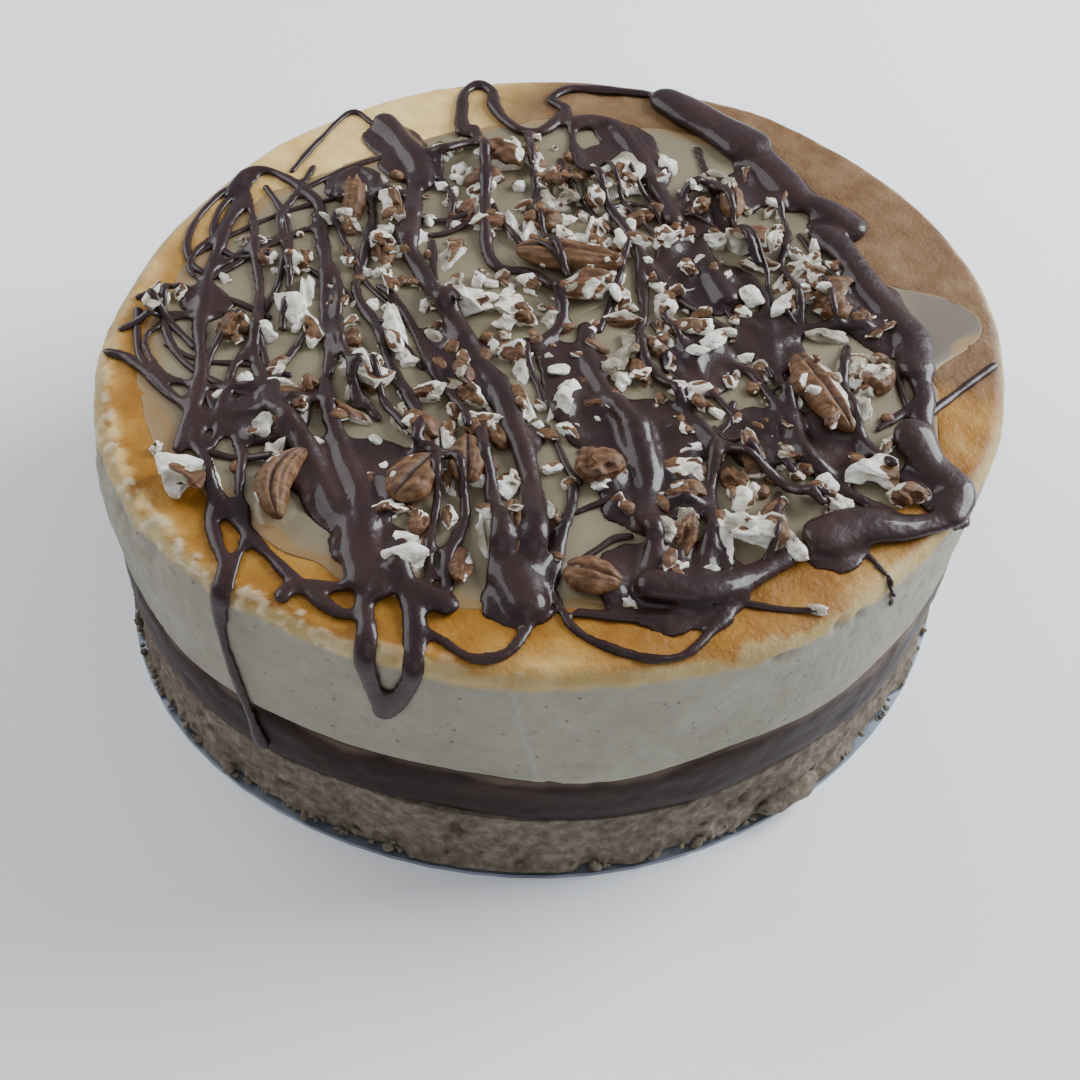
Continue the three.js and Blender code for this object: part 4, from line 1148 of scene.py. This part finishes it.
# Fine threads on the top, written the same way
THIN = [
    (1.0, 1.0, -71, 48, -67, 61, -60, 76, -54, 71, -50, 69),
    (1.1, 1.1, -97, -16, -93, -13, -86, -10, -79, -8, -72, -8),
    (1.0, 1.1, -92, -8, -86, -14, -80, -20),
    (1.1, 1.1, -82, 3, -77, 9, -73, 15, -66, 22),
    (0.9, 0.9, -66, 41, -58, 50, -49, 57),
    (1.1, 1.1, -70, -51, -65, -52, -61, -52, -57, -52),
    (0.9, 0.9, -36, 25, -30, 28, -25, 32),
    (0.9, 0.9, -38, 32, -32, 32, -26, 34),
    (0.9, 0.9, 20, 15, 24, 12, 30, 16),
    (0.9, 0.9, 9, 42, 14, 46, 19, 42, 22, 37),
    (1.0, 1.0, -8, -9, -7, -16, -4, -23, -3, -27),
    (1.0, 1.1, 0, -37, 2, -42, 4, -47, 6, -50),
    (0.9, 0.9, 6, -58, 9, -56, 13, -54),
    (0.9, 0.9, 8, -70, 11, -67, 14, -64, 17, -63),
    (1.0, 1.0, 38, -22, 37, -28, 35, -32),
    (1.0, 1.1, -33, 24, -30, 8, -24, -2),
    (0.9, 0.9, -57, 28, -52, 18, -47, 8, -38, -2),
    (1.1, 1.1, -68, -12, -64, -22, -60, -34, -53, -41, -50, -47),
    (1.1, 1.1, -40, -24, -36, -33, -31, -40),
    (0.9, 0.9, -5, 62, -2, 50, 4, 40, 10, 34),
    (1.0, 1.0, 47, -48, 46, -56, 45, -64, 41, -72),
    (0.9, 0.8, 40, -77, 46, -77.5, 53, -77.5),
    (1.3, 1.1, 80, -20, 89, -10, 97, -1.5),
    (0.8, 0.7, 63, -60, 68, -66, 69.5, -69),
    (1.0, 1.0, 76, 0, 75, -10, 77, -22),
    (1.1, 1.1, -17, -18, -14, -26, -9, -36),
    (0.9, 0.9, 34, -30, 40, -38, 48, -46, 56, -50),
    (1.0, 1.0, 70, 18, 66, 10, 62, 6),
    (0.9, 0.9, 50, -28, 53, -36, 56, -44),
    (1.0, 1.0, 14, 32, 12, 18, 10, 6, 8, -2),
    (0.9, 0.9, -20, 40, -14, 28, -6, 20, 2, 12),
    (0.8, 0.8, 0, 66, 6, 56, 12, 44, 20, 34),
    (0.8, 0.8, 30, 30, 34, 16, 40, 2, 46, -14),
    (0.8, 0.8, 8, 60, 16, 50, 26, 42, 38, 38),
    (0.8, 0.8, -60, 10, -50, 2, -40, -8, -30, -20),
    (0.8, 0.8, -86, -20, -78, -24, -68, -24, -58, -26),
    (0.8, 0.8, -88, 10, -80, 20, -70, 30, -58, 38),
    (0.8, 0.8, 55, 40, 60, 28, 66, 18, 72, 8),
    (1.1, 1.1, -82, 43, -87, 34, -90, 22, -89, 12, -85, 6, -78, 4),
    (1.1, 1.1, -80, 42, -85, 30, -84, 18, -78, 12, -70, 12),
    (1.0, 1.0, -96, -5, -90, -2, -82, -2, -74, -4, -66, -8),
    (1.1, 1.1, -95, -10, -92, -22, -86, -32, -78, -38, -70, -40),
    (1.1, 1.1, -90, -2, -88, -14, -82, -24, -74, -30, -64, -34),
    (1.0, 1.0, -76, 40, -70, 30, -66, 18, -66, 4, -68, -10),
    (1.0, 1.0, -72, -10, -76, -22, -74, -34, -68, -44),
    (0.8, 0.8, 20, 2, 26, -10, 28, -24, 36, -36),
    (0.8, 0.8, 40, 36, 46, 24, 48, 12, 56, 2),
]
# Strokes that run over the edge: two radii, points x, y on top, then angle in degrees and height on the wall
FALLS = [
    (1.7, 1.6, [(-66, -65), (-65, -70), (-62.5, -76), (-60, -81)],
     [(234.3, 70.5), (234.3, 66), (234.8, 56), (235.9, 44), (237, 33.5), (237.9, 25.5)]),
    (1.2, 1.2, [(-59, -66), (-58, -73), (-58.5, -78)],
     [(235.6, 70.5), (235.2, 66), (234.8, 60), (234.8, 54)]),
    (2.3, 2.4, [(-33, -78), (-32.5, -86), (-31, -93)],
     [(252.3, 70), (252.8, 65), (253.4, 60), (254.2, 55.5)]),
    (2.6, 2.3, [(-27, -78), (-24, -85), (-21.5, -91.5)],
     [(257.6, 70), (257.2, 66), (256.3, 61.5), (255.2, 57.5), (254.2, 54.8)]),
    (1.0, 0.8, [(66, -64), (68.6, -67)],
     [(315.6, 70), (316.4, 66), (316.8, 63.5)]),
]
# Puddles of sauce poured over the nuts, each as the corners of its edge: x, y pairs
PUDDLES = [
    (-53, -50, -48, -44, -38, -42, -31, -43, -28, -56, -33, -67, -43, -70, -49, -62),
    (-3, -8, 1, -5, 10, -20, 11, -33, 3, -34, -3, -21),
    (2, -30, 9, -27, 29, -26, 33, -38, 19, -46, 7, -42),
    (16, -42, 24, -40, 25, -62, 17, -62),
    (17, -64, 23, -64, 24, -80, 18, -84),
    (17, -77, 36, -77, 39, -81, 30, -84, 19, -84),
    (29, -64, 35, -64, 35, -80, 29, -80),
    (52, -60, 57, -53, 64, -56, 63, -65, 58, -67, 52, -65),
    (74, -34, 82, -33, 88, -44, 84, -51, 77, -47),
    (28, 25, 38, 27, 42, 14, 37, 7, 31, 8),
    (-10, -77, -4, -75, 1, -80, 3, -86, -3, -88.5, -9, -87),
    (-41, -66, -35, -64, -27, -80, -33, -83, -38, -77),
    (-56, 73, -48, 72, -40, 60, -36, 46, -42, 46, -50, 58),
    (-62, 47, -54, 50, -49, 41, -56, 36),
    (44, 75, 52, 66, 60, 52, 52, 48, 44, 60, 38, 70),
    (60, 53, 70, 52, 72, 45, 64, 38, 57, 44),
    (0, 82, 12, 81, 19, 68, 24, 54, 18, 54, 8, 70),
    (-20, -20, -14, -18, -12, -30, -18, -30),
    (-84, 2, -78, 0, -76, -10, -83, -10),
    (28, 49, 35, 50, 36, 36, 28, 36),
    (-6, -35, -1, -33, -2, -39, -4, -43, -8, -39),
    (-3, -63, 2, -63, 3, -69, 0, -76, -3, -77),
    (28, 30, 34, 28, 37, 20, 42, 18, 42, 11, 36, 11, 30, 16),
    (22, 30, 30, 34, 34, 24, 30, 12, 22, 16),
    (40, 8, 48, 10, 54, 0, 50, -12, 42, -8),
    (24, -4, 34, 0, 38, -12, 32, -22, 24, -16),
    (52, -24, 62, -22, 66, -34, 60, -44, 50, -36),
    (34, 60, 42, 64, 48, 54, 42, 46, 34, 52),
    (2, 70, 10, 72, 14, 62, 8, 54, 0, 60),
    (38, -24, 46, -22, 50, -34, 44, -42, 36, -36),
    (64, 26, 72, 26, 78, 10, 74, -4, 66, 4),
    (-30, -4, -22, -6, -16, -18, -22, -26, -30, -16),
    (-70, -36, -60, -34, -50, -38, -54, -44, -66, -46),
]
# Radius below which a stroke counts as narrow, and the steps along strokes and along threads
NARROW = 2.6
STROKE_STEP = 0.7
THREAD_STEP = 0.9


def laid(points, r0, r1, step, seed):
    """A stroke dropped on the height grid: it bridges between what it lies on and swells a little at times.

    The swelling is two slow waves of the distance run, slower on thicker strokes."""
    line, s = along(points, step)
    r = mix(r0, r1, s / s[-1])
    r = np.where(r < NARROW, r * 0.86, r * 0.95)
    slow = s / (1 + 0.55 * max(r0, r1))
    r = r * (1 + 0.1 * np.sin(slow * 0.5 + seed) + 0.06 * np.sin(slow * 1.3 + 2.3 * seed))
    beside = [height_at(ground, line[:, 0] + dx * r, line[:, 1] + dy * r) for dx, dy in
              ((0, 0), (0.5, 0), (-0.5, 0), (0, 0.5), (0, -0.5))]
    high = np.max(beside, axis=0)
    width = (1.4 + 0.8 * max(r0, r1)) / step
    high = np.maximum(soften(high, width), soften(high, width * 0.4) - 0.4)
    return np.column_stack([line, np.minimum(high + 0.28 * r, STROKE_LIMIT - 0.75 * r)]), r


def wall_point(degrees, z, r):
    """A place on the wall: the cake's edge at that angle and height, and the sauce's thickness outwards."""
    a = np.radians(degrees)
    top = TOP_Z - RIM_ROUND
    inward = RIM_ROUND * (1 - np.sqrt(max(0, 1 - (max(0, z - top) / RIM_ROUND) ** 2)))
    far = CAKE_R * outline(a) + wall_wave(a, min(z, 68)) + 0.25 * r - inward
    return polar(far, a, z)


def up_side(line):
    """Which way is out of the cake: straight up on top, outwards on the wall."""
    out = line * (1, 1, 0)
    out = out / (np.linalg.norm(out, axis=1, keepdims=True) + 1e-9)
    lean = np.clip((TOP_Z + 0.6 - line[:, 2]) / RIM_ROUND, 0, 1)[:, None]
    return np.array([0, 0, 1.0]) * (1 - lean) + out * lean


def stroke(row, step, seed, sides=12):
    """Rope of one row of the tables, laid on whatever is there."""
    r0, r1, *rest = row
    line, r = laid(np.reshape(rest, (-1, 2)), r0, r1, step, seed)
    return rope(line, r, up_side(line), sides)


def fall(n, r0, r1, on_top, on_wall):
    """Rope that lies on top, then runs down the wall; the first one ends in a bead."""
    top_line, _ = laid(on_top, r0, r0, 1.5, n + 50)
    wall_line = np.array([wall_point(d, z, r1) for d, z in on_wall])
    line, s = along(np.vstack([top_line[::3], wall_line]), STROKE_STEP)
    r = mix(r0, r1, s / s[-1]) * (1 + 0.1 * np.sin(s * 0.3 + n))
    if n == 0:
        r = r * (1 + 0.35 * smooth(s[-1] - 7, s[-1] - 1, s))
    return rope(line, r, up_side(line), 12)


def puddle(corners, soft):
    """A low puddle poured over whatever is there.

    Its edge runs smoothly round the corners, with two small waves. Its top follows the softened ground, but
    is held low so that nuts stand out of it, and rounds off at the edge. Its underside lies just below the
    caramel."""
    corners = np.asarray(corners, float).reshape(-1, 2)
    middle = corners.mean(0)
    angle = np.arctan2(*(corners - middle).T[::-1])
    order = np.argsort(angle)
    far = np.hypot(*(corners - middle).T)
    phi = angles(64)
    turns = np.linspace(-0.3, 0.3, 7)
    reach = sum(np.interp(phi + d, angle[order], far[order], period=TAU) for d in turns) / len(turns)
    reach = reach * (1 + 0.04 * np.sin(5 * phi + middle[0]) + 0.03 * np.sin(9 * phi + middle[1]))
    share = np.array([0.3, 0.75, 0.97, 1.0, 0.99, 0.95, 0.88, 0.75, 0.6, 0.45, 0.3, 0.15])
    X = middle[0] + share[:, None] * reach * np.cos(phi)
    Y = middle[1] + share[:, None] * reach * np.sin(phi)
    floor = np.where(in_pool(X, Y), POOL_TOP, bare_top(X, Y)) - 0.35
    held = np.minimum(height_at(soft, X, Y), POOL_TOP + PUDDLE_RISE)
    top = held + 0.1 + 0.75 * np.sqrt(1 - share[:, None] ** 4)
    Z = np.where(np.arange(len(share))[:, None] < 3, floor, top)
    Z[3] = floor[3] + 0.4
    grid = np.stack([X, Y, np.minimum(Z, PUDDLE_LIMIT)], -1)
    return with_poles(grid), round_faces(len(share), len(phi))


def gather(name, parts, blended):
    """Joins closed parts into one piece; where blended, a voxel remesh melts them together and smoothing
    rounds it."""
    piece = make(name, *join(parts), DRIZZLE)
    if blended:
        melt = piece.modifiers.new("melt", "REMESH")
        melt.mode = "VOXEL"
        melt.voxel_size = VOXEL * MM
        melt.use_smooth_shade = True
        ease = piece.modifiers.new("ease", "SMOOTH")
        ease.factor = 0.5
        ease.iterations = 4
    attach(piece, "root")
    return piece


def drizzle():
    """The thick strokes, falls and puddles melted into one piece, and the thin threads as another."""
    soft = soft_ground()
    thick = [stroke(row, STROKE_STEP, n) for n, row in enumerate(THICK)]
    thick += [fall(n, *row) for n, row in enumerate(FALLS)]
    thick += [puddle(corners, soft) for corners in PUDDLES]
    melted = gather("chocolate_drizzle", thick, True)
    thin = [stroke(row, THREAD_STEP, n + 80, sides=10) for n, row in enumerate(THIN)]
    gather("drizzle_threads", thin, False)
    return melted


def caramel_pool():
    """Closed flat pool: its thin edge laps a little over the browned top, then the level rises to the
    pool's own over a few millimetres, with low swells, and creeps up against what stands in it.

    The thin attribute marks its shallow edge, widest at the left, and the tab attribute the tab at the
    right."""
    a = angles(720)
    inward = np.concatenate([[60, 20, 1.0, -0.8, -0.6], np.geomspace(0.15, 72, 90) - 0.65])
    A = np.broadcast_to(a, (len(inward), len(a)))
    far = pool_edge(a) * (1 - np.clip(inward, -1, 75)[:, None] / 84)
    X, Y = far * np.cos(A), far * np.sin(A)
    edge_top = bare_top(X, Y)
    under = np.arange(len(inward))[:, None] < 4
    swell = 0.12 * crags(np.stack([X, Y, 0 * X], -1), 18, 121, 2)
    creep = 0.35 * smooth(0.2, 2.5, height_at(ground, X, Y) - POOL_TOP)
    rise = 1 - np.exp(-np.maximum(inward + 0.65, 0) / 2.2)[:, None]
    level = mix(edge_top + 0.04, POOL_TOP + swell + creep, rise)
    Z = np.where(under, POOL_FLOOR, level)
    Z[3] = edge_top[3] - 0.4
    P = np.stack([X, Y, Z], -1)
    depth = inward[:, None] + 2.5 * crags(P, 9, 125, 3)
    west = smooth(-0.3, 0.6, -np.cos(A - 0.5))
    thin = smooth(3.2, 0.2, depth) + west * smooth(8, 1, depth) * 0.35
    tab = smooth(77, 85, far) * bell(around(A - 0.12), 0.32) * smooth(0.3, 1.6, depth)
    piece = round_body("caramel_pool", P, CARAMEL, thin=np.clip(thin, 0, 1) * (1 - tab), tab=tab)
    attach(piece, "root")


# Crumbs that are tried round the foot, their seed, and the angle of the large lump at the front right
CRUMB_TRIES = 420
CRUMB_SEED = 23
LUMP_ANGLE = -0.9


def loose_crumbs():
    """Crumbs spilled at the foot of the wall: random little lumps, thick in places, none far out, and one
    large lump that broke off."""
    draw = np.random.default_rng(CRUMB_SEED)
    ball, faces = SPHERES[1]
    parts = []
    for n in range(CRUMB_TRIES):
        a = draw.uniform(0, TAU)
        if lumps(polar(3, a, 0.0)[None], 1.0, 17)[0] < draw.uniform(-0.9, 0.5):
            continue
        size = draw.uniform(0.5, 1.5) if n % 9 else draw.uniform(1.4, 2.4)
        far = CAKE_R * outline(a) * 0.998 + draw.uniform(-0.3, 1.1)
        form = ball * (1 + 0.3 * draw.normal(size=(len(ball), 1)) * 0.5) * size / 2
        centre = polar(far, a, TIN_T + 0.15 + size * 0.42 + draw.exponential(1.1))
        parts.append((spin(form * (1.3, 1, 0.85), draw.uniform(0, TAU)) + centre, faces))
    ball, faces = SPHERES[2]
    form = ball * (1 + 0.3 * crags(ball, 0.6, 33, 3)[:, None]) * (8.5, 3.0, 2.8)
    centre = polar(CAKE_R * outline(LUMP_ANGLE) + 0.2, LUMP_ANGLE, TIN_T + 4)
    parts.append((spin(form, LUMP_ANGLE + np.pi / 2) + centre, faces))
    points, faces = join(parts)
    piece = make("loose_crumbs", points, faces, BISCUIT, pit=np.zeros(len(points)))
    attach(piece, "root")


def tin():
    """The tin's disc keeps its solid and takes a metal finish."""
    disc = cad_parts["tin_base"]
    disc.data.materials.clear()
    disc.data.materials.append(TIN_METAL)


# Stage, lights and camera

# Viewpoint that a scratch program fitted to points picked in the picture, in metres and radians
EYE = Vector((0.0, -0.2578, 0.2922))
PAN = -0.02708
TILT = 0.8542
ROLL = 0.07514
FOCAL_PX = 1476.9
CENTRE_PX = (517.0, 540.3)
IMAGE_PX = 1080
SENSOR_MM = 36

# Soft lights, the strongest from the right and a little behind: name, place, size, power, colour
LIGHTS = [
    ("window", (0.85, 0.45, 0.6), 0.7, 26, (0.88, 0.94, 1.0)),
    ("left_light", (-0.8, 0.35, 0.6), 0.8, 7.5, (0.95, 0.97, 1.0)),
    ("front_light", (0.1, -0.75, 0.9), 0.8, 1.6, (1.0, 0.98, 0.95)),
]
LIT_POINT = Vector((0, 0, 0.05))
SKY = (0.82, 0.89, 1.0, 1)
SKY_POWER = 0.46
FLOOR_HALF = 3.0


def camera():
    """Camera at the picture's viewpoint: panned about Z, tilted down and rolled, its centre shifted."""
    ahead = Vector((np.sin(PAN) * np.cos(TILT), np.cos(PAN) * np.cos(TILT), -np.sin(TILT)))
    right = ahead.cross(Vector((0, 0, 1))).normalized()
    up = right.cross(ahead)
    turned_right = right * np.cos(ROLL) + up * np.sin(ROLL)
    turned_up = up * np.cos(ROLL) - right * np.sin(ROLL)
    data = bpy.data.cameras.new("camera")
    data.sensor_width = SENSOR_MM
    data.lens = SENSOR_MM * FOCAL_PX / IMAGE_PX
    data.shift_x = (IMAGE_PX / 2 - CENTRE_PX[0]) / IMAGE_PX
    data.shift_y = (CENTRE_PX[1] - IMAGE_PX / 2) / IMAGE_PX
    data.clip_start = 0.01
    eye = bpy.data.objects.new("camera", data)
    basis = Matrix((turned_right, turned_up, -ahead)).transposed()
    eye.matrix_world = Matrix.Translation(EYE) @ basis.to_4x4()
    bpy.context.scene.collection.objects.link(eye)
    bpy.context.scene.camera = eye


def light(name, place, size, power, colour):
    """Soft square light aimed at the middle of the cake."""
    data = bpy.data.lights.new(name, "AREA")
    data.size = size
    data.energy = power
    data.color = colour
    lamp = bpy.data.objects.new(name, data)
    lamp.location = place
    lamp.rotation_euler = (LIT_POINT - Vector(place)).to_track_quat("-Z", "Y").to_euler()
    bpy.context.scene.collection.objects.link(lamp)


def stage():
    """Pale floor, cool soft sky and three large lights."""
    mesh = bpy.data.meshes.new("floor")
    s = FLOOR_HALF
    mesh.from_pydata([(-s, -s, 0), (s, -s, 0), (s, s, 0), (-s, s, 0)], [], [(0, 1, 2, 3)])
    mesh.materials.append(floor_paint())
    floor = bpy.data.objects.new("floor", mesh)
    bpy.context.scene.collection.objects.link(floor)
    world = bpy.data.worlds.new("sky")
    world.use_nodes = True
    background = world.node_tree.nodes["Background"]
    background.inputs[0].default_value = SKY
    background.inputs[1].default_value = SKY_POWER
    bpy.context.scene.world = world
    for row in LIGHTS:
        light(*row)


tin()
biscuit_layer()
chocolate_layer()
filling_layer()
large_pecans()
chopped_pecans()
caramel_pool()
sauce = drizzle()
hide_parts("topping")
loose_crumbs()
camera()
stage()
